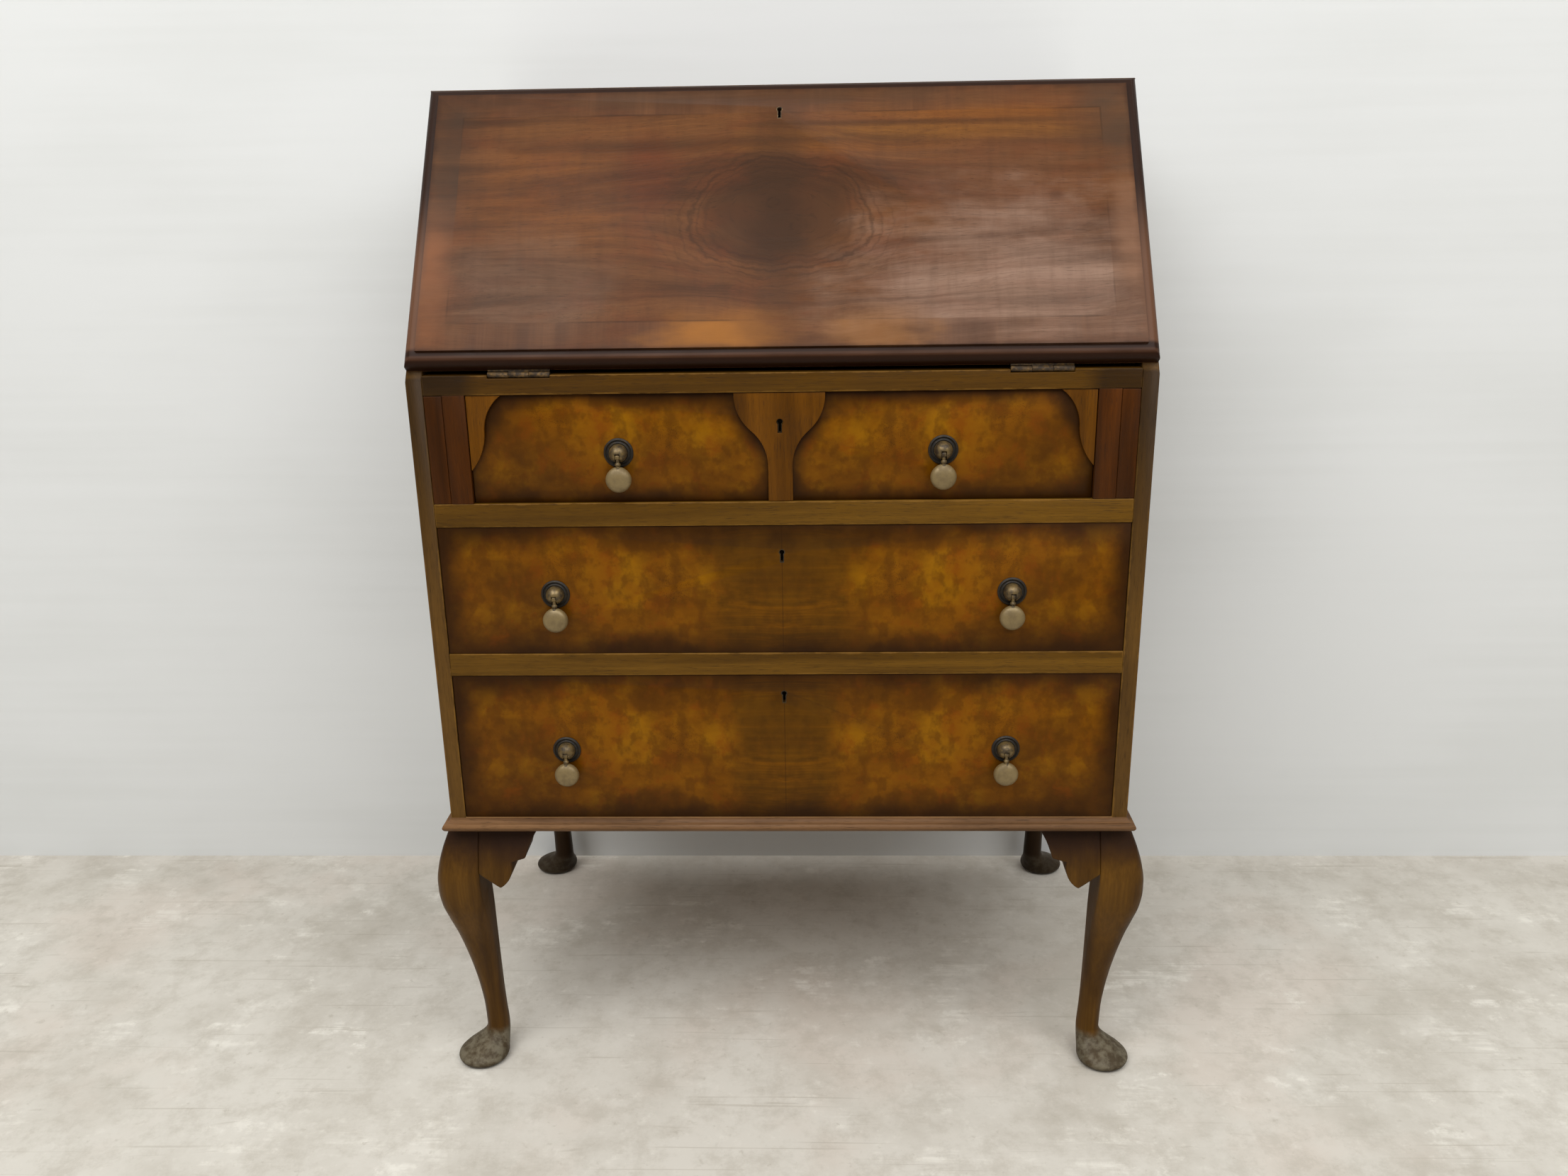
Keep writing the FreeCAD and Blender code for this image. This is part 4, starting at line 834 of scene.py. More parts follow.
    def border(self, across: Value, along: Value, flat: Value) -> list[Layer]:
        """Crossbanding whose grain runs out to the edge, the line inside it and the moulded edge, with a
        painted highlight along the lip.

        Args:
            across: Place across the fall.
            along: Place along the slope.
            flat: Both as a vector.

        Returns:
            The layers over the field.
        """
        from_side = self.half_width - self.edge - abs(across)
        from_foot = along - (self.edge + self.heel)
        from_end = (self.length - self.edge - along).maths("MINIMUM", from_foot)
        nearest = from_side.maths("MINIMUM", from_end)
        on_side = from_side.maths("LESS_THAN", from_end)
        upright = grain(flat.tree.join(along, across), Sway=0.01)
        level = grain(flat, Sway=0.01)
        stripes, fine = [
            flat.tree.value("ShaderNodeMix", 0, {"data_type": "FLOAT"}, in0=on_side, in2=first, in3=second)
            for first, second in zip(upright[:2], level[:2])]
        banding = stripes.mix(self.band_dark, self.band_light).under((fine * 0.35, self.band_dark))
        in_band = nearest.ramp(self.band + 0.0005, self.band - 0.0005)
        in_band = in_band * flat.noise(9.0, 3.0).ramp(0.4, 0.62, 0.15, 0.65)
        line = abs(nearest - self.band).ramp(0.0014, 0.0003) * flat.noise(12.0, 2.0).ramp(0.42, 0.62)
        smudge = (flat.ragged(40.0) * 0.012 + nearest).ramp(0.006, -0.002)
        rubbed = along.ramp(0.2, 0.1) * along.ramp(0.017, 0.022)
        edge = rubbed.mix(self.edge_dark, self.edge_rubbed)
        # Painted highlight: a lighter line along the rounded lip at the foot of the fall.
        lip = abs(from_foot + 0.006).ramp(0.003, 0.001) * flat.noise(20.0)
        return [(in_band, banding), *[figure.layer(flat, in_band) for figure in self.band_figures],
                (line * 0.4, self.oval_dark), (smudge * 0.5, edge), (nearest.ramp(0.0008, -0.0008), edge),
                (lip * 0.7, self.edge_rubbed)]


@dataclass(frozen=True)
class LegFinish:
    """Walnut of the legs: painted shade under the carcase and at the back, rubbed pale and scuffed on the
    pads.

    Attributes:
        top: Height of the legs.
        pad: Height up to which the pads are scuffed.
        light: Colour between the bands.
        dark: Colour of the bands.
        shade: Painted shade at the tops of the legs, under the carcase.
        rear: Painted shade of the rear legs, which stand under the carcase.
        scuffed: Pale colour of the scuffed pads.
        scuff_dark: Dark mottling of the pads.
    """

    top: float = 0.3095
    pad: float = 0.036
    light: Colour = srgb(98, 66, 18)
    dark: Colour = srgb(54, 33, 6)
    shade: Colour = srgb(42, 25, 16)
    rear: Colour = srgb(26, 14, 3)
    scuffed: Colour = srgb(104, 98, 82)
    scuff_dark: Colour = srgb(66, 58, 44)

    def material(self) -> bpy.types.Material:
        """Build the material.

        Returns:
            The material.
        """
        look = Look("leg_walnut")
        place = look.place()
        _, back, up = place.parts()
        bands, fibre, _ = grain(place.mapped(Rotation=Along.HEIGHT.value), Sway=0.03)
        patches, _ = wear(place)
        ragged = place.ragged(30.0)
        mottle = place.noise(120.0, 5.0, 0.6).ramp(0.36, 0.66)
        # The rear pads keep little of the scuffing, so that they stay in painted shade.
        on_pad = (ragged * 0.012 + up).ramp(self.pad * 1.02, self.pad * 0.72) * back.ramp(0.1, 0.0, 0.25, 1.0)
        colour = bands.mix(self.dark, self.light).under(
            (fibre * 0.4, self.dark), (patches * 0.3, self.dark),
            # Painted shade: the legs darken under the carcase, and the rear legs darken as a whole.
            ((ragged * 0.03 + up).ramp(self.top - 0.06, self.top - 0.018, 0.0, 0.88), self.shade),
            (back.ramp(0.0, 0.15, 0.0, 0.9), self.rear),
            (on_pad * 0.85, mottle.mix(self.scuff_dark, self.scuffed)),
            (up.ramp(0.007, 0.001, 0.0, 0.8), self.scuff_dark))
        dull = on_pad.maths("MAXIMUM", patches)
        return look.polished(colour, (0.4, 0.6), dull, mottle * on_pad + fibre, 0.06)


@dataclass(frozen=True)
class BrassFinish:
    """Old brass with dirt in its hollows.

    Attributes:
        name: Name of the material.
        clean: Colour of the metal.
        patina: Colour of its tarnish.
        patina_share: How much of it is tarnished.
        gloss: Roughness of the metal.
        metal: How metallic the clean parts are.
        grime: How metallic the tarnished parts are.
        spots: Fineness of the tarnish, in spots a metre.
    """

    name: str
    clean: Colour
    patina: Colour
    patina_share: float
    gloss: float
    metal: float = 1.0
    grime: float = 0.4
    spots: float = 260.0

    def material(self) -> bpy.types.Material:
        """Build the material.

        Returns:
            The material.
        """
        look = Look(self.name)
        place = look.place()
        spots = place.noise(self.spots, 5.0, 0.62)
        middle = 0.75 - self.patina_share * 0.5
        mask = spots.ramp(middle - 0.2, middle + 0.15)
        _, scratches = wear(place * (6.0, 6.0, 6.0))
        colour = mask.mix(self.clean, self.patina).under((scratches * 0.4, self.clean))
        bump = look.value("ShaderNodeBump", "Normal", Height=spots, Strength=0.15, Distance=0.0002)
        return look.finished(Base_Color=colour, Metallic=mask.ramp(0.0, 1.0, self.metal, self.grime),
                             Roughness=mask.ramp(0.0, 1.0, self.gloss, self.gloss + 0.25), Normal=bump)


def dress(material: bpy.types.Material, *nodes: str) -> None:
    """Give nodes of the frame their material."""
    for node in nodes:
        mesh = frame["nodes"][node].data
        mesh.materials.clear()
        mesh.materials.append(material)
        LOG.info("dressed %s with %s", node, material.name)


def shown(name: str, mesh: bpy.types.Mesh, materials: Sequence[bpy.types.Material], body: str,
          replaced: str = "") -> bpy.types.Object:
    """Make a smooth object of a mesh and let it ride on a body.

    Args:
        name: Name of the piece.
        mesh: Its mesh, in the frame.
        materials: Its materials.
        body: Body that it moves with.
        replaced: Node that it stands for, if any.

    Returns:
        The new object.
    """
    if mesh.materials:
        mesh.materials.clear()
    for material in materials:
        mesh.materials.append(material)
    mesh.shade_smooth()
    piece = bpy.data.objects.new(name, mesh)
    bpy.context.scene.collection.objects.link(piece)
    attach(piece, body)
    if replaced:
        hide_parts(replaced)
    LOG.info("made %s with %d faces", name, len(mesh.polygons))
    return piece


def softened(material: bpy.types.Material, arris: Arris, *nodes: str, segments: int = 2) -> None:
    """Stand in for nodes by their own shapes with the sharp edges rounded.

    Args:
        material: Material of the copies.
        arris: Width of the rounding.
        *nodes: Nodes of the frame to copy and replace.
        segments: Steps across the rounding.
    """
    for node in nodes:
        source = frame["nodes"][node]
        work = bmesh.new()
        work.from_mesh(source.data)
        bmesh.ops.remove_doubles(work, verts=work.verts, dist=MERGE_REACH)
        bmesh.ops.dissolve_limit(work, angle_limit=FLAT_ANGLE, verts=work.verts, edges=work.edges,
                                 delimit={"NORMAL"})
        mesh = bpy.data.meshes.new(node + "_worn")
        work.to_mesh(mesh)
        work.free()
        piece = shown(node + "_worn", mesh, [material], source["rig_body"], node)
        bevel = piece.modifiers.new("worn edges", "BEVEL")
        bevel.width = arris.value
        bevel.segments = segments
        bevel.limit_method = "ANGLE"
        bevel.angle_limit = SHARP_ANGLE
        bevel.harden_normals = True


def grid_mesh(points: Array, name: str = "part", closed: bool = True, caps: bool = False,
              slot: int = 0) -> bpy.types.Mesh:
    """A mesh from a grid of points, whose rows go up and whose columns go round.

    The face between row r, column c and their next ones joins their four points. A cap closes the first and
    the last row with one face each.

    Args:
        points: Array of rows by columns by 3, or of pieces by rows by columns by 3.
        name: Name of the mesh.
        closed: Whether the last column joins the first.
        caps: Whether the first and last rows are closed.
        slot: Place of its material.

    Returns:
        The mesh, with its faces pointing outwards for columns that go round anticlockwise seen from above.
    """
    points = points.reshape(-1, *points.shape[-3:])
    pieces, rows, columns = points.shape[:3]
    span = columns if closed else columns - 1
    piece, row, column = np.meshgrid(np.arange(pieces), np.arange(rows - 1), np.arange(span), indexing="ij")
    start = piece * rows * columns + row * columns
    here = start + column
    beside = start + (column + 1) % columns
    faces = np.stack([here, beside, beside + columns, here + columns], axis=-1).reshape(-1, 4).tolist()
    if caps:
        starts = np.arange(pieces)[:, None] * rows * columns
        faces += (starts + np.arange(columns)[::-1]).tolist()
        faces += (starts + (rows - 1) * columns + np.arange(columns)).tolist()
    mesh = bpy.data.meshes.new(name)
    mesh.from_pydata(points.reshape(-1, 3).tolist(), [], faces)
    mesh.polygons.foreach_set("material_index", np.full(len(faces), slot, dtype=np.int32))
    mesh.update()
    return mesh


def joined(name: str, *meshes: bpy.types.Mesh) -> bpy.types.Mesh:
    """Put meshes into one, close its poles and seams and point its faces outwards.

    Args:
        name: Name of the new mesh.
        *meshes: The meshes, which are removed.

    Returns:
        The new mesh.
    """
    work = bmesh.new()
    for mesh in meshes:
        work.from_mesh(mesh)
        bpy.data.meshes.remove(mesh)
    bmesh.ops.remove_doubles(work, verts=work.verts, dist=MERGE_REACH / 2)
    bmesh.ops.recalc_face_normals(work, faces=work.faces)
    whole = bpy.data.meshes.new(name)
    work.to_mesh(whole)
    work.free()
    return whole


def turned(profile: Array, sides: int, axis: int = 1) -> Array:
    """Surface of revolution of a profile about an axis through the origin.

    The point at angle a of a profile row (place, radius) lies at that place on the axis, radius times the
    cosine and the sine of a beside it.

    Args:
        profile: Rows of place along the axis and radius.
        sides: Steps round the axis.
        axis: Number of the axis, 0 to 2.

    Returns:
        Array of rows by sides by 3.
    """
    angles = np.arange(sides) * WHOLE_TURN / sides
    rows = np.empty((len(profile), sides, 3))
    rows[..., axis] = profile[:, :1]
    rows[..., (axis + 1) % 3] = profile[:, 1:] * np.cos(angles)
    rows[..., (axis + 2) % 3] = profile[:, 1:] * np.sin(angles)
    return rows


def smooth_through(knots: Array, values: Array, places: Array) -> Array:
    """Curve through knots without overshoot, by cubic pieces with harmonic slopes.

    The slope at a knot is the harmonic mean of the slopes on its two sides, or zero where they differ in
    sign, and each piece is the cubic with those values and slopes at its ends.

    Args:
        knots: Rising places of the knots.
        values: Values at each knot, one row a knot.
        places: Where the curve is wanted.

    Returns:
        The values at the places.
    """
    secant = np.diff(values, axis=0) / np.diff(knots)[:, None]
    product = secant[:-1] * secant[1:]
    total = secant[:-1] + secant[1:]
    safe = np.where(np.abs(total) > 1e-12, total, 1.0)
    inner = np.where(product > 0, 2 * product / safe, 0.0)
    slope = np.vstack([secant[:1], inner, secant[-1:]])
    index = np.clip(np.searchsorted(knots, places) - 1, 0, len(knots) - 2)
    gap = (knots[index + 1] - knots[index])[:, None]
    share = (places[:, None] - knots[index][:, None]) / gap
    square, cube = share ** 2, share ** 3
    return ((2 * cube - 3 * square + 1) * values[index] + (cube - 2 * square + share) * gap * slope[index]
            + (3 * square - 2 * cube) * values[index + 1] + (cube - square) * gap * slope[index + 1])


def smoothed(profile: Sequence[tuple[float, float]], steps: int) -> Array:
    """Resample a profile as a smooth curve through its points, even in its length.

    Args:
        profile: The points.
        steps: How many points are wanted.

    Returns:
        Rows of the new points.
    """
    points = np.array(profile)
    reach = np.concatenate([[0.0], np.cumsum(np.linalg.norm(np.diff(points, axis=0), axis=1))])
    return smooth_through(reach, points, np.linspace(0, reach[-1], steps))


@dataclass
class CabrioleLegs:
    """The four cabriole legs with pad feet and the scrolled brackets beside their knees.

    Attributes:
        height: Floor to the underside of the carcase.
        half_width: Corner plane of the legs from the middle.
        front_plane: Corner plane of the front legs.
        rear_plane: Corner plane of the rear legs.
        post: Corner plane to the inner face of the post.
        knee: Knee in front of the corner plane.
        ankle: Width at the thinnest.
        ankle_inset: Ankle's centre behind the corner plane.
        ankle_height: Ankle above the floor.
        foot: Diameter of the pad.
        foot_inset: Foot's centre behind the corner plane.
        rows: Steps up the leg.
        columns: Steps round it.
        upper_shares: Height between ankle and top, outer face between ankle and knee, inner face between
            ankle and post, and rounding of the outer and of the other corners as shares of half the
            section.
        spread_shares: Height between floor and ankle, and radius between ankle and full foot.
        under_shares: Height between floor and ankle, and radius against the full foot.
        foot_rounding: Rounding of the foot's corners, as a share of half the section.
        finish: Its wood.
    """

    height: float = 0.3095
    half_width: float = 0.360
    front_plane: float = -0.211925
    rear_plane: float = 0.222775
    post: float = 0.024
    knee: float = 0.0259
    ankle: float = 0.0254
    ankle_inset: float = 0.0178
    ankle_height: float = 0.036
    foot: float = 0.0575
    foot_inset: float = 0.0024
    rows: int = 120
    columns: int = 56
    upper_shares: tuple = (
        (0.000, 0.000, 0.00, 0.98, 0.98), (0.090, 0.013, 0.20, 0.96, 0.94), (0.200, 0.100, 0.35, 0.92, 0.86),
        (0.311, 0.250, 0.42, 0.88, 0.77), (0.410, 0.425, 0.48, 0.84, 0.66), (0.492, 0.596, 0.55, 0.81, 0.55),
        (0.570, 0.795, 0.63, 0.78, 0.42), (0.640, 0.950, 0.77, 0.75, 0.30), (0.700, 1.000, 0.93, 0.70, 0.20),
        (0.750, 0.989, 1.00, 0.64, 0.14), (0.818, 0.890, 1.00, 0.52, 0.12), (0.886, 0.722, 1.00, 0.38, 0.11),
        (0.943, 0.535, 1.00, 0.26, 0.11), (1.000, 0.341, 1.00, 0.16, 0.12),
    )
    spread_shares: tuple = ((0.20, 1.000), (0.34, 0.840), (0.48, 0.570), (0.64, 0.265), (0.80, 0.075))
    under_shares: tuple = ((0.00, 0.76), (0.10, 0.96))
    foot_rounding: float = 0.98
    finish: LegFinish = LegFinish()

    def knots(self) -> Array:
        """Rows of height, outer face, inner face and the two corner roundings.

        Returns:
            One row a knot, from the floor up.
        """
        outer = self.ankle / 2 - self.ankle_inset
        inner = self.ankle / 2 + self.ankle_inset
        radius = self.foot / 2
        inset, low = self.foot_inset, self.ankle_height
        rounding = (self.foot_rounding, self.foot_rounding)
        return np.array([
            *[(rise * low, radius * share - inset, radius * share + inset, *rounding)
              for rise, share in self.under_shares],
            *[(rise * low, outer + (radius - inset - outer) * share, inner + (radius + inset - inner) * share,
               *rounding) for rise, share in self.spread_shares],
            *[(low + (self.height - low) * rise, outer + (self.knee - outer) * out,
               inner + (self.post - inner) * inward, *corners)
              for rise, out, inward, *corners in self.upper_shares],
        ])

    def section_grid(self) -> Array:
        """Leg as a grid: at each height a square whose corners are rounded by their own radii.

        A point at angle a from the section's centre lies on the rounded square with half side s: the corner
        of its quarter has its centre at s - r from the middle both ways and the radius r, and the quarter's
        arc is spread evenly over its columns, so that straight sides join the arcs.

        Returns:
            Array of rows by columns by 3, about the corner plane's foot.
        """
        knots = self.knots()
        low_rows = self.rows // 3
        places = np.concatenate([np.linspace(0, self.ankle_height, low_rows, endpoint=False),
                                 np.linspace(self.ankle_height, self.height, self.rows - low_rows)])
        found = smooth_through(knots[:, 0], knots[:, 1:], places)
        outer, inner, outer_round, inner_round = found.T[..., None]
        half = (outer + inner) / 2
        middle = (inner - outer) / 2
        quarter = self.columns // 4
        up = np.repeat(places[:, None], quarter, axis=1)
        grids = []
        # The quarters go round from the outer corner, whose rounding is its own.
        for turn, sign_x, sign_y in ((2, -1, -1), (3, 1, -1), (0, 1, 1), (1, -1, 1)):
            radius = half * (outer_round if turn == 2 else inner_round)
            angles = np.linspace(0, QUARTER_TURN, quarter) + turn * QUARTER_TURN
            grids.append(np.stack([middle + sign_x * (half - radius) + radius * np.cos(angles),
                                   middle + sign_y * (half - radius) + radius * np.sin(angles), up], axis=-1))
        return np.concatenate(grids, axis=1)

    def build(self) -> None:
        """Make the four legs, each turned by quarter turns, and dress the brackets."""
        material = self.finish.material()
        grid = self.section_grid()
        for node, across, back, turns in (
            ("leg_front_left", -self.half_width, self.front_plane, 0),
            ("leg_front_right", self.half_width, self.front_plane, 1),
            ("leg_rear_right", self.half_width, self.rear_plane, 2),
            ("leg_rear_left", -self.half_width, self.rear_plane, 3),
        ):
            turn = np.array(Matrix.Rotation(turns * QUARTER_TURN, 3, "Z"))
            name = node + "_carved"
            mesh = grid_mesh(grid @ turn.T + (across, back, 0), name, caps=True)
            shown(name, mesh, [material], Body.CARCASE.value, node)
        softened(material, Arris.CARVED, "knee_brackets_front", "knee_brackets_side", segments=3)


@dataclass
class ScrewHeads:
    """Slotted screw heads, low domes with a slot across.

    Attributes:
        radius: Radius of a head.
        rise: Height of the dome.
        slot: Half the width of the slot.
        depth: Depth of the slot.
        rings: Steps from rim to middle.
        sides: Steps round a head.
        turn: Angle from one head's slot to the next one's, in radians.
        metal: Its finish.
    """

    radius: float = 0.0032
    rise: float = 0.0006
    slot: float = 0.00045
    depth: float = 0.0006
    rings: int = 7
    sides: int = 32
    turn: float = 1.9
    metal: BrassFinish = BrassFinish("screw_steel", srgb(120, 108, 84), srgb(58, 48, 34), 0.6, 0.4)

    @cached_property
    def steel(self) -> bpy.types.Material:
        """The material of all heads."""
        return self.metal.material()

    def build(self, name: str, places: Array, outward: Triple, body: str) -> None:
        """Make a head at each place.

        A point at radius r and angle a stands rise times one less the square of r over the rim's radius
        above its seat, less the slot's depth where the point's distance from the slot's line is under half
        its width.

        Args:
            name: Name of the piece.
            places: Rows of places on the seat.
            outward: Direction in which the heads look.
            body: Body that they ride on.
        """
        outward = Vector(outward)
        first = outward.orthogonal().normalized()
        second = outward.cross(first)
        shares = np.concatenate([[0.0, 1.0], np.linspace(1.0, 0.0, self.rings)])[:, None]
        angles = (np.arange(self.sides) * WHOLE_TURN / self.sides)[None, :]
        turns = (np.arange(len(places)) * self.turn)[:, None, None]
        out = shares * self.radius
        cut = np.abs(out * np.sin(angles)) < self.slot
        height = self.rise * (1 - shares ** 2) - np.where(cut & (shares < 0.99), self.depth, 0.0)
        height[:2] = -self.depth * 1.2
        one = out * np.cos(angles + turns)
        two = out * np.sin(angles + turns)
        beside = one[..., None] * np.array(first) + two[..., None] * np.array(second)
        points = places[:, None, None, :] + beside + height[None, ..., None] * np.array(outward)
        shown(name, joined(name, grid_mesh(points)), [self.steel], body)


SCREWS = ScrewHeads()


@dataclass
class Carcase:
    """Ends, top, rails, writing board, mouldings, lopers and the plain boards behind them.

    Attributes:
        upright: Walnut of the ends.
        level: Walnut of the top.
        olive: Faded walnut of the rails.
        board: The same wood of the writing board, darker with painted shadow under the fall, and darker
            towards its ends.
        moulding: Walnut of the base moulding.
        loper: Walnut of the lopers and the boards beside them.
        oak: Bare wood inside.
        ply: Wood of the back panel.
        screw_inset: Screws from the back panel's edges.
        screw_spacing: About how far one screw stands from the next.
    """

    # The ends' front edges darken towards the top: grime, and painted shade under the fall's overhang.
    upright: WoodFinish = WoodFinish("walnut_upright", srgb(102, 72, 30), srgb(64, 43, 15), Along.HEIGHT,
                                     shade=(2, 0.52, 0.77))
    level: WoodFinish = WoodFinish("walnut_level", srgb(100, 68, 32), srgb(64, 42, 18))
    olive: WoodFinish = WoodFinish("olive_level", srgb(112, 78, 20), srgb(72, 47, 7), sway=0.012,
                                   dirt_share=0.2)
    # Painted shadow: the writing board is darker, as it lies under the overhanging foot of the fall; its ends
    # darken as well.
    board: WoodFinish = replace(olive, name="board_level", light=srgb(92, 61, 12), dark=srgb(58, 36, 4),
                                shade=(0, 0.285, 0.31))
    moulding: WoodFinish = WoodFinish("moulding_walnut", srgb(128, 94, 62), srgb(88, 61, 38), worn_share=0.0)
    loper: WoodFinish = WoodFinish("loper_walnut", srgb(82, 42, 6), srgb(44, 20, 1), Along.HEIGHT,
                                   worn_share=0.25)
    oak: WoodFinish = WoodFinish("bare_oak", srgb(172, 132, 88), srgb(138, 102, 64), Along.WIDTH,
                                 (0.6, 0.75), 0.0, dirt=srgb(90, 66, 40), dirt_share=0.35)
    ply: WoodFinish = WoodFinish("stained_ply", srgb(134, 98, 62), srgb(104, 74, 46), Along.HEIGHT,
                                 (0.6, 0.75), 0.0, dirt=srgb(70, 50, 32), dirt_share=0.45)
    screw_inset: float = 0.009
    screw_spacing: float = 0.105

    def build(self) -> None:
        """Dress the carcase."""
        for node, finish, arris in (
            ("side_left", self.upright, Arris.FRONT), ("side_right", self.upright, Arris.FRONT),
            ("top_board", self.level, Arris.RUBBED), ("rail_upper", self.olive, Arris.BOARD),
            ("rail_lower", self.olive, Arris.BOARD), ("writing_board", self.board, Arris.BOARD),
        ):
            softened(finish.material(node), arris, node)
        softened(self.moulding.material(), Arris.MOULDING, "base_moulding_front", "base_moulding_sides")
        softened(self.loper.material(), Arris.SLIGHT, "loper_left", "loper_right", "loper_partitions")
        dress(self.oak.material(), "bottom_board")
        dress(replace(self.oak, name="bare_oak_deep", along=Along.DEPTH).material(), "drawer_runners")
        dress(self.ply.material(), "back_panel")
        self.back_screws()

    def back_screws(self) -> None:
        """Screw the back panel down, at even places just inside its edges."""
        low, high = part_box("back_panel")
        inset = self.screw_inset
        across, up = [np.linspace(start + inset, end - inset, round((end - start) / self.screw_spacing))
                      for start, end in ((low.x, high.x), (low.z, high.z))]
        flat = [(x, z) for z in (up[0], up[-1]) for x in across] + [(x, z) for x in (across[0], across[-1])
                                                                    for z in up[1:-1]]
        places = np.insert(np.array(flat), 1, high.y, axis=1)
        SCREWS.build("back_panel_screws", places, (0, 1, 0), Body.CARCASE.value)


@dataclass
class Fall:
    """The sloping fall with its lock, and the hinges that it turns on.

    Attributes:
        axis: A point on the hinge axis.
        slope: Slope of the closed fall, in radians.
        hinge_places: Where the two hinges stand from the middle.
        screw_places: Where each leaf's screws stand from its middle.
        screw_reach: Screws from the hinge axis.
        length: Hinge axis to the upper edge.
        brass: Aged brass of hinges and locks.
    """

    axis: Triple = (0.0, -0.230375, 0.7945)
    slope: float = math.radians(55.5)
    hinge_places: tuple[float, ...] = (-0.25, 0.25)
    screw_places: tuple[float, ...] = (-0.021, 0.0, 0.021)
    screw_reach: float = 0.0155
    length: float = 0.31628
    brass: BrassFinish = BrassFinish("aged_brass", srgb(112, 84, 42), srgb(44, 31, 15), 0.58, 0.5, 0.35, 0.08)

    def build(self) -> None:
        """Dress the fall, its lock and its hinges, and set the screws of the leaves."""
        _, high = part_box("fall_panel")
        finish = FallFinish(self.axis, self.slope, high.x, self.length)
        softened(finish.material(), Arris.RUBBED, "fall_panel", segments=3)
        brass = self.brass.material()
        softened(brass, Arris.METAL, "hinge_board_leaves", "hinge_fall_leaves", "hinge_pins", segments=1)
        dress(brass, "fall_lock")
        rise, run = math.sin(self.slope), math.cos(self.slope)
        seats = np.array(self.axis) + [(hinge + place, 0.0, 0.0) for hinge in self.hinge_places
                                       for place in self.screw_places]
        SCREWS.build("hinge_fall_screws", seats + np.array([0.0, run, rise]) * self.screw_reach,
                     (0.0, rise, -run), Body.FALL.value)
        SCREWS.build("hinge_board_screws", seats + (0.0, self.screw_reach, 0.0), (0, 0, 1),
                     Body.CARCASE.value)


@dataclass
class Drawers:
    """The three long drawers: burr fronts, applied pieces, oak boxes and locks.

    Attributes:
        applied: Veneer of the pieces applied to the upper front.
        oak: Bare wood of the boxes.
        brass: Brass of the locks.
        seams: Half the plainer stretch in the middle of each front.
        reaches: How far the dark tone reaches in from the edges of each front.
        applied_drop: Height of the applied pieces.
        applied_shape: Waist, flare and corner width of the applied pieces.
        screw_inset: Screws from the lock case's edges.
        screw_drop: Lower screws from its upper edge.
    """

    applied: WoodFinish = WoodFinish("applied_walnut", srgb(116, 70, 6), srgb(74, 42, 1), Along.HEIGHT,
                                     worn_share=0.0, dirt_share=0.2)
    oak: WoodFinish = WoodFinish("drawer_oak", srgb(178, 140, 96), srgb(146, 110, 72), Along.DEPTH,
                                 (0.6, 0.72), 0.0, dirt=srgb(96, 70, 44), dirt_share=0.3)
    brass: BrassFinish = BrassFinish("lock_brass", srgb(96, 78, 44), srgb(40, 30, 18), 0.6, 0.45)
    seams: Triple = (0.0, 0.075, 0.055)
    reaches: Triple = (0.020, 0.030, 0.034)
    applied_drop: float = 0.074
    applied_shape: Triple = (0.012, 0.032, 0.034)
    screw_inset: float = 0.006
    screw_drop: float = 0.036

    def build(self) -> None:
        """Dress each drawer."""
        brass = self.brass.material()
        bottom = replace(self.oak, name="drawer_bottom").material()
        for name, seam, reach in zip(DRAWERS, self.seams, self.reaches):
            node = name + "_drawer_front"
            centre, half = middle_of(node)
            finish = BurrFinish(name + "_burr", centre, half, reach, seam)
            if name == "upper":
                waist, flare, corner = self.applied_shape
                finish = replace(finish, waist=waist, flare=flare, corner=corner,
                                 turn=half[2] - self.applied_drop)
            softened(finish.material(), Arris.FRONT, node)
            dress(brass, name + "_drawer_lock")
            side = replace(self.oak, name=name + "_drawer_oak", tails=centre[1] + half[1] - 0.0005)
            dress(side.material(), name + "_drawer_sides")
            dress(bottom, name + "_drawer_bottom")
            end = replace(self.oak, name=name + "_drawer_end", along=Along.WIDTH)
            dress(end.material(), name + "_drawer_back")
            self.lock_screws(name)
        softened(self.applied.material(), Arris.BOARD, "upper_drawer_applique")

    def lock_screws(self, name: str) -> None:
        """Fix a drawer's lock case by a screw near each of its upper corners and two below.

        Args:
            name: Which drawer.
        """
        low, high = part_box(name + "_drawer_lock")
        inset = self.screw_inset
        places = [(x, high.y, high.z - drop) for x in (low.x + inset, high.x - inset)
                  for drop in (self.screw_drop, inset)]
        SCREWS.build(name + "_lock_screws", np.array(places), (0, 1, 0), name + "_drawer")


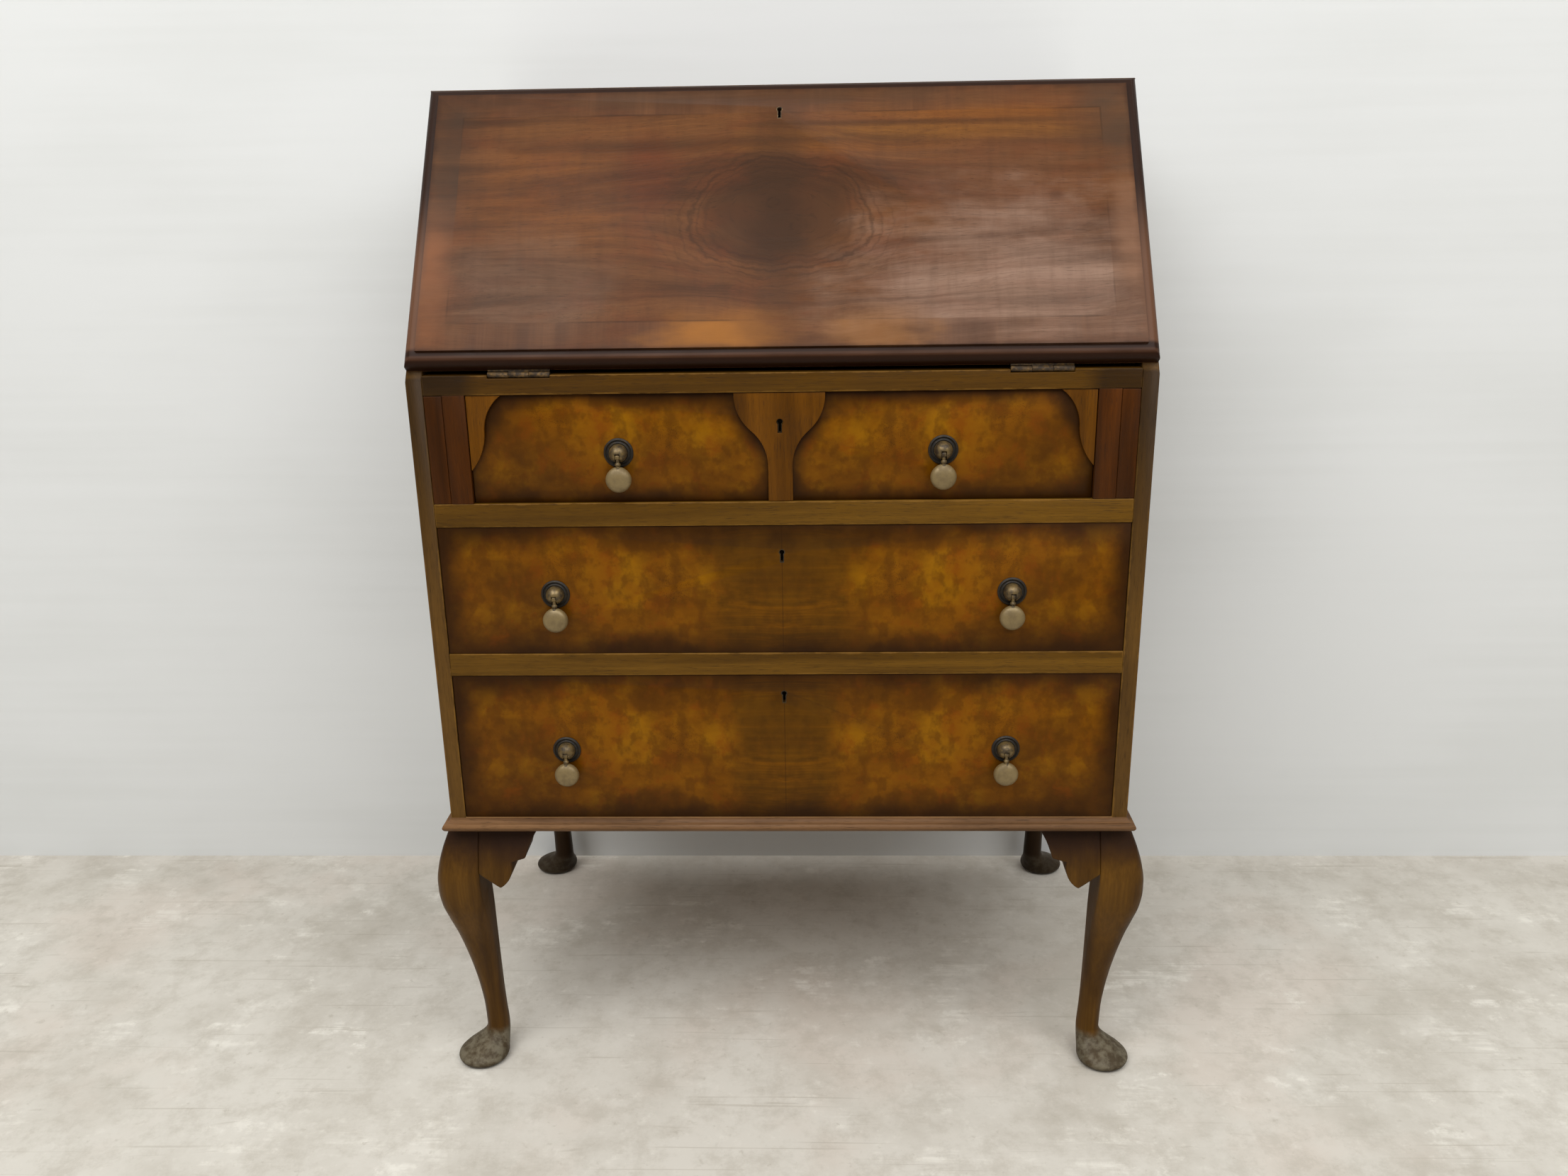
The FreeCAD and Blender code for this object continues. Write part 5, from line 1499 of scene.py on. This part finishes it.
@dataclass
class PearDrops:
    """Backplates with domed posts, and the pear drops that hang in them.

    Attributes:
        plate: Radius of a backplate.
        post: Radius of its post.
        reach: Top of the post in front of the drawer.
        standoff: Pin in front of the drawer.
        pin_drop: Pin below the plate's centre.
        pin: Radius of the pin.
        clearance: Pin to its eye.
        eye: Outer radius of the eye.
        eye_width: Eye, side to side.
        eye_gap: Eye to the cheeks of the post.
        neck: Radius of the neck at the eye.
        neck_foot: Radius of the neck at the bob.
        neck_shares: Height between bob and eye, and radius against the neck's.
        bob: Radius of the bob.
        bob_depth: Bob, front to back.
        bob_place: Bob's centre below the plate's centre.
        bob_power: Power of the bob's sine and cosine, under one for a full shape.
        slot_floor: Floor of the post's slot in front of the drawer.
        sides: Steps round.
        rim: Rings of the plate, out from the drawer and from the middle.
        dark: Patinated brass of the plates.
        bright: Rubbed brass of the posts.
        pale: Finish of the bobs.
    """

    plate: float = 0.0146
    post: float = 0.009
    reach: float = 0.013
    standoff: float = 0.0094
    pin_drop: float = 0.0024
    pin: float = 0.00125
    clearance: float = 0.00008
    eye: float = 0.0029
    eye_width: float = 0.0044
    eye_gap: float = 0.0004
    neck: float = 0.0021
    neck_foot: float = 0.0042
    neck_shares: tuple = ((0.32, 0.86), (0.42, 1.35), (0.54, 1.35), (0.64, 0.8), (1.0, 0.9))
    bob: float = 0.0127
    bob_depth: float = 0.013
    bob_place: float = 0.0248
    bob_power: float = 0.76
    slot_floor: float = 0.0026
    sides: int = 64
    rim: tuple = ((0.0000, 0.0000), (0.0000, 0.0144), (0.0003, 0.0146), (0.0008, 0.0146), (0.0012, 0.0144),
                  (0.0013, 0.0140), (0.0022, 0.0136), (0.0025, 0.0131), (0.0022, 0.0126), (0.0013, 0.0122),
                  (0.0010, 0.0117), (0.0013, 0.0111), (0.0020, 0.0107), (0.0023, 0.0102), (0.0023, 0.0096),
                  (0.0018, 0.0091), (0.0018, 0.0000))
    dark: BrassFinish = BrassFinish("dark_brass", srgb(60, 45, 22), srgb(19, 13, 5), 0.7, 0.4, 0.6, 0.15)
    bright: BrassFinish = BrassFinish("rubbed_brass", srgb(118, 98, 60), srgb(46, 34, 16), 0.5, 0.34,
                                      0.45, 0.2, 150.0)
    pale: BrassFinish = BrassFinish("pale_brass", srgb(124, 106, 70), srgb(103, 86, 54), 0.4, 0.42, 0.25,
                                    0.15, 120.0)

    def build(self) -> None:
        """Make the plates and the drops of each drawer, where its plates stand in the frame."""
        plate_metals = [self.dark.material(), self.bright.material()]
        drop_metals = [plate_metals[1], self.pale.material()]
        for name in DRAWERS:
            low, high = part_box(name + "_drawer_plates")
            place = high.x - self.plate
            spots = [np.array([place * hand, high.y, (low.z + high.z) / 2]) for hand in (-1, 1)]
            meshes = [mesh for spot in spots for mesh in self.plate_meshes(spot)]
            piece = name + "_plates_turned"
            shown(piece, joined(piece, *meshes), plate_metals, name + "_drawer", name + "_drawer_plates")
            for side, spot in zip(SIDES, spots):
                node = "%s_drop_%s" % (name, side)
                piece = node + "_turned"
                shown(piece, joined(piece, *self.drop_meshes(spot)), drop_metals, node, node)

    def plate_meshes(self, spot: Array) -> list[bpy.types.Mesh]:
        """Meshes of one plate: the ringed disc, the slotted post and the pin.

        The post is a cylinder that ends in a quarter circle, less a box for the eye.

        Args:
            spot: The plate's centre on the drawer's face.

        Returns:
            The meshes.
        """
        disc = turned(np.array(self.rim) * (-1, 1), self.sides) + spot
        bend = np.linspace(0, QUARTER_TURN, 16)
        shoulder = self.reach - self.post
        dome = np.stack([-shoulder - np.sin(bend) * self.post, np.cos(bend) * self.post], -1)
        foot = [(-0.001, 0.0), (-0.001, self.post), (-shoulder * 0.5, self.post)]
        post = turned(np.concatenate([foot, dome]), self.sides) + spot
        half = self.eye_width / 2 + self.eye_gap
        low = spot + (-half, -self.reach * 1.5, -self.post * 1.5)
        high = spot + (half, -self.slot_floor, -self.pin_drop + self.eye + self.eye_gap)
        slotted = less_box(joined("post", grid_mesh(post, slot=1)), low, high)
        ends = half + self.pin
        pin = turned(np.array([(-ends, 0), (-ends, self.pin), (ends, self.pin), (ends, 0)]), 24, 0)
        pin = pin + spot + (0, -self.standoff, -self.pin_drop)
        return [grid_mesh(disc), slotted, grid_mesh(pin, slot=1)]

    def drop_meshes(self, spot: Array) -> list[bpy.types.Mesh]:
        """Meshes of one drop: the eye round its pin, the waisted neck and the flattened bob.

        The bob's profile is a circle whose sine and cosine are raised to a power under one, so that it is
        fuller than an ellipse, and its upper half narrows with the square of the height.

        Args:
            spot: The plate's centre on the drawer's face.

        Returns:
            The meshes.
        """
        hang = spot + (0, -self.standoff, 0)
        bore = self.pin + self.clearance
        half = self.eye_width / 2
        soft = half * 0.2
        ring = np.array([(-half, bore), (-half, self.eye - soft), (-half + soft, self.eye),
                         (half - soft, self.eye), (half, self.eye - soft), (half, bore), (-half, bore)])
        eye = turned(ring, 32, 0) + hang + (0, 0, -self.pin_drop)
        foot = -self.bob_place + self.bob * 0.72
        length = -self.pin_drop - bore - foot
        knots = [(foot, 0.0), (foot, self.neck_foot), (foot + length * 0.2, self.neck_foot * 0.86),
                 *[(foot + length * rise, self.neck * share) for rise, share in self.neck_shares],
                 (foot + length, 0.0)]
        neck = turned(smoothed(knots, 40), 28, 2) + hang
        sweep = np.linspace(0, math.pi, 28)
        along = np.sign(np.cos(sweep)) * np.abs(np.cos(sweep)) ** self.bob_power * self.bob_depth / 2
        out = np.clip(np.sin(sweep), 0, 1) ** self.bob_power * self.bob
        bob = turned(np.stack([along, out], -1), 48)
        bob[..., :2] *= 1 - 0.1 * (np.clip(bob[..., 2:], 0, None) / self.bob) ** 2
        bob = bob + hang + (0, 0, -self.bob_place)
        return [grid_mesh(eye), grid_mesh(neck), grid_mesh(bob, slot=1)]


def less_box(mesh: bpy.types.Mesh, low: Array, high: Array) -> bpy.types.Mesh:
    """Cut a box out of a closed mesh.

    Args:
        mesh: The mesh.
        low: Lowest corner of the box.
        high: Its highest corner.

    Returns:
        A new mesh in place of the given one.
    """
    square = np.array([(0, 0), (1, 0), (1, 1), (0, 1)])
    rows = np.stack([np.column_stack([square, np.full(4, level)]) for level in (0, 1)])
    cutter = bpy.data.objects.new("cutter", grid_mesh(low + rows * (high - low), caps=True))
    whole = bpy.data.objects.new("whole", mesh)
    for item in (cutter, whole):
        bpy.context.scene.collection.objects.link(item)
    cut = whole.modifiers.new("slot", "BOOLEAN")
    cut.operation = "DIFFERENCE"
    cut.object = cutter
    bpy.context.view_layer.update()
    result = bpy.data.meshes.new_from_object(whole.evaluated_get(bpy.context.evaluated_depsgraph_get()))
    result.polygons.foreach_set("material_index", np.ones(len(result.polygons), dtype=np.int32))
    for item in (whole, cutter):
        bpy.data.objects.remove(item)
    return result


@dataclass
class Interior:
    """Pigeonholes and small drawers behind the fall.

    Attributes:
        walnut: Polished wood of the fittings.
        oak: Bare wood of the boxes.
        brass: Brass of the knobs.
        knob_rings: Knob's profile, out from the drawer and from its middle.
    """

    walnut: WoodFinish = WoodFinish("fitting_walnut", srgb(142, 100, 58), srgb(106, 72, 40), Along.WIDTH,
                                    (0.5, 0.65), 0.02)
    oak: WoodFinish = replace(Carcase.oak, name="small_oak")
    brass: BrassFinish = BrassFinish("knob_brass", srgb(150, 124, 74), srgb(70, 54, 30), 0.5, 0.35)
    knob_rings: tuple = ((0.0, 0.0), (0.0, 0.0041), (0.0010, 0.0041), (0.0022, 0.0034), (0.0050, 0.0028),
                         (0.0064, 0.0040), (0.0076, 0.0055), (0.0092, 0.0060), (0.0112, 0.0050),
                         (0.0126, 0.0026), (0.0130, 0.0))

    def build(self) -> None:
        """Dress the fittings and turn the knobs."""
        deep = replace(self.walnut, name="fitting_walnut_deep", along=Along.DEPTH).material()
        softened(self.walnut.material(), Arris.BOARD, "pigeonhole_shelf")
        softened(deep, Arris.BOARD, "pigeonhole_dividers")
        softened(deep, Arris.SLIGHT, "small_drawer_partitions")
        oak = self.oak.material()
        brass = self.brass.material()
        knob = turned(smoothed(self.knob_rings, 48) * (-1, 1), 40)
        for side in SIDES:
            node = "small_drawer_" + side
            finish = BurrFinish(node + "_burr", *middle_of(node + "_front"))
            softened(finish.material(), Arris.BOARD, node + "_front")
            dress(oak, node + "_box")
            (x, y, z), half = middle_of(node + "_knob")
            piece = node + "_knob_turned"
            mesh = joined(piece, grid_mesh(knob + (x, y + half[1], z)))
            shown(piece, mesh, [brass], node, node + "_knob")


@dataclass
class Studio:
    """Floor, wall, lamps and the camera, which stands where the photograph was taken from.

    Attributes:
        camera_place: Where the camera stands.
        camera_angles: Its yaw, pitch down and roll, in degrees.
        focal_pixels: Its focal length, in pixels of the photograph.
        photo_width: Width of the photograph in pixels.
        sensor_width: Width of its sensor, in millimetres.
        wall_place: How far back the wall stands.
        clear_gap: Length of a ray up to which the wall is clear.
        half_room: Half the width of the floor, and the height of the wall.
        floor_colour: Colour of the floor.
        floor_stain: Colour of its stains.
        floor_warm: Colour of its warmer clouds.
        floor_pale: Colour of its scraped streaks.
        wall_colour: Colour of the wall.
        wall_stain: Colour of its brush marks.
        streaks: Turn, offset, length and strength of the floor's scraped streaks.
        scratches: Turn and offset of its scratches.
        lamps: Name, place and power of each lamp.
        lamp_aim: Point that the lamps look at.
        lamp_size: Their width.
        sky: Colour of the surround.
    """

    camera_place: Triple = (0.04129, -1.44578, 0.96766)
    camera_angles: Triple = (-1.877, 17.779, -0.94)
    focal_pixels: float = 1790.39
    photo_width: float = 2212.0
    sensor_width: float = 36.0
    wall_place: float = 0.2505
    clear_gap: float = 0.1
    half_room: float = 6.0
    floor_colour: Colour = srgb(200, 196, 187)
    floor_stain: Colour = srgb(162, 155, 142)
    floor_warm: Colour = srgb(197, 184, 172)
    floor_pale: Colour = srgb(222, 219, 210)
    wall_colour: Colour = srgb(221, 223, 223)
    wall_stain: Colour = srgb(213, 215, 214)
    streaks: tuple = ((0.5, 0.0, 3.0, 0.3), (-0.9, 3.0, 4.0, 0.35), (1.4, 6.0, 6.0, 0.45),
                      (2.3, 9.0, 7.0, 0.4))
    scratches: tuple = ((0.9, 1.0), (-0.35, 5.0), (1.75, 8.0))
    lamps: tuple = (("key", (-1.0, -1.8, 2.9), 64.0), ("fill", (1.3, -1.8, 2.8), 46.0))
    lamp_aim: Triple = (0.0, 0.0, 0.3)
    lamp_size: float = 2.0
    sky: Colour = srgb(232, 229, 224)

    def place_camera(self) -> None:
        """Place the camera by its yaw, pitch and roll."""
        yaw, pitch, roll = [math.radians(angle) for angle in self.camera_angles]
        right = Vector((math.cos(yaw), -math.sin(yaw), 0))
        level = Vector((math.sin(yaw), math.cos(yaw), 0))
        up = Vector((0, 0, 1))
        forward = level * math.cos(pitch) - up * math.sin(pitch)
        head = level * math.sin(pitch) + up * math.cos(pitch)
        side = right * math.cos(roll) + head * math.sin(roll)
        head = head * math.cos(roll) - right * math.sin(roll)
        data = bpy.data.cameras.new("camera")
        data.sensor_width = self.sensor_width
        data.lens = self.focal_pixels / self.photo_width * self.sensor_width
        data.clip_end = 50
        camera = bpy.data.objects.new("camera", data)
        camera.matrix_world = (Matrix.Translation(self.camera_place)
                               @ Matrix((side, head, -forward)).transposed().to_4x4())
        bpy.context.scene.collection.objects.link(camera)
        bpy.context.scene.camera = camera

    def lay_room(self) -> None:
        """Lay the floor and stand the wall behind the bureau."""
        room, wall = self.half_room, self.wall_place
        for name, near, far, material in (
            ("floor", (-room, 0), (room, 0), self.concrete()),
            ("wall", (wall, 0), (wall, room), self.plaster()),
        ):
            rows = [[(-room, *row), (room, *row)] for row in (near, far)]
            mesh = grid_mesh(np.array(rows, float), name, closed=False)
            mesh.materials.append(material)
            piece = bpy.data.objects.new(name, mesh)
            bpy.context.scene.collection.objects.link(piece)

    def plaster(self) -> bpy.types.Material:
        """Pale matt wall with faint level brush marks.

        It is clear from behind and to light from what stands close to it, so that it leaves rear views as
        they are.

        Returns:
            The material.
        """
        look = Look("wall")
        place = look.place()
        clouds = (place * (1.0, 1.0, 2.2)).noise(1.7, 4.0, 0.5)
        strokes = (place * (2.0, 1.0, 60.0)).noise(1.0, 3.0, 0.5)
        stained = (strokes * 0.3 + clouds).ramp(0.5, 0.85, 0.0, 0.7)
        far = look.value("ShaderNodeLightPath", "Ray Length").maths("GREATER_THAN", self.clear_gap)
        seen = look.value("ShaderNodeLightPath", "Is Camera Ray").maths("MAXIMUM", far)
        in_front = 1.0 - look.value("ShaderNodeNewGeometry", "Backfacing")
        both = look.value("ShaderNodeMixShader", 0, in0=seen * in_front,
                          in1=look.value("ShaderNodeBsdfTransparent", 0),
                          in2=Value(look, look.shader.outputs[0]))
        look.feed(look.output, Surface=both)
        return look.finished(Base_Color=stained.mix(self.wall_colour, self.wall_stain), Roughness=0.75,
                             Specular_IOR_Level=0.2)

    def concrete(self) -> bpy.types.Material:
        """Pale worn floor: stained clouds, scraped pale patches, small pits and fine scratches.

        Returns:
            The material.
        """
        look = Look("floor")
        place = look.place()
        clouds = place.noise(4.0, 8.0, 0.66).ramp(0.42, 0.68)
        warm = place.noise(2.6, 5.0, 0.6).ramp(0.5, 0.66)
        patches = place.noise(7.0, 9.0, 0.72).ramp(0.54, 0.62)
        pits = place.noise(70.0, 5.0, 0.65).ramp(0.6, 0.72)
        specks = place.noise(48.0, 6.0, 0.7).ramp(0.54, 0.7)
        mottle = place.noise(22.0, 9.0, 0.75).ramp(0.44, 0.66)
        layers = [(clouds * 0.5, self.floor_stain), (warm * 0.4, self.floor_warm)]
        for turn, offset, stretch, share in self.streaks:
            streak = place.mapped(Location=(offset, offset, 0.0), Rotation=(0.0, 0.0, turn),
                                  Scale=(stretch, 45.0, 1.0)).noise(1.0, 4.0, 0.65, 0.6)
            layers += [(streak.ramp(0.5, 0.62, 0.0, share) * patches, self.floor_pale),
                       (streak.ramp(0.68, 0.76, 0.0, 0.5), self.floor_stain)]
        layers += [(pits * 0.45, self.floor_stain), (specks * 0.25, self.floor_pale),
                   (mottle * 0.4, self.floor_stain)]
        for turn, offset in self.scratches:
            scratch = place.mapped(Location=(offset, offset, 0.0), Rotation=(0.0, 0.0, turn),
                                   Scale=(3.0, 150.0, 1.0)).noise(1.0, 2.0, 0.5, 0.4)
            layers.append((scratch.ramp(0.68, 0.74) * 0.4, self.floor_stain))
        first, *others = layers
        colour = first[0].mix(self.floor_colour, first[1]).under(*others)
        return look.finished(Base_Color=colour, Roughness=0.7, Specular_IOR_Level=0.3)

    def light(self) -> None:
        """Hang broad soft lamps, in a surround that is bright overhead and dim all round."""
        for name, place, power in self.lamps:
            data = bpy.data.lights.new(name, "AREA")
            data.shape = "SQUARE"
            data.size = self.lamp_size
            data.energy = power
            lamp = bpy.data.objects.new(name, data)
            turn = (Vector(self.lamp_aim) - Vector(place)).to_track_quat("-Z", "Y")
            lamp.matrix_world = Matrix.Translation(place) @ turn.to_matrix().to_4x4()
            bpy.context.scene.collection.objects.link(lamp)
        world = bpy.data.worlds.new("surround")
        world.use_nodes = True
        tree = Tree(world.node_tree)
        *_, up = tree.value("ShaderNodeTexCoord", "Generated").parts()
        strength = up.ramp(0.0, 0.9, 0.15, 1.0)
        glow = tree.value("ShaderNodeBackground", 0, Color=opaque(self.sky), Strength=strength)
        tree.add("ShaderNodeOutputWorld", Surface=glow)
        bpy.context.scene.world = world

    def build(self) -> None:
        """Set up the whole studio."""
        self.place_camera()
        self.lay_room()
        self.light()
        bpy.context.scene.view_settings.view_transform = "Standard"


def main() -> None:
    """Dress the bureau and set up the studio."""
    for part in (Studio(), CabrioleLegs(), Carcase(), Fall(), Drawers(), PearDrops(), Interior()):
        LOG.info("building %s", type(part).__name__)
        part.build()


if __name__ == "__main__":
    main()
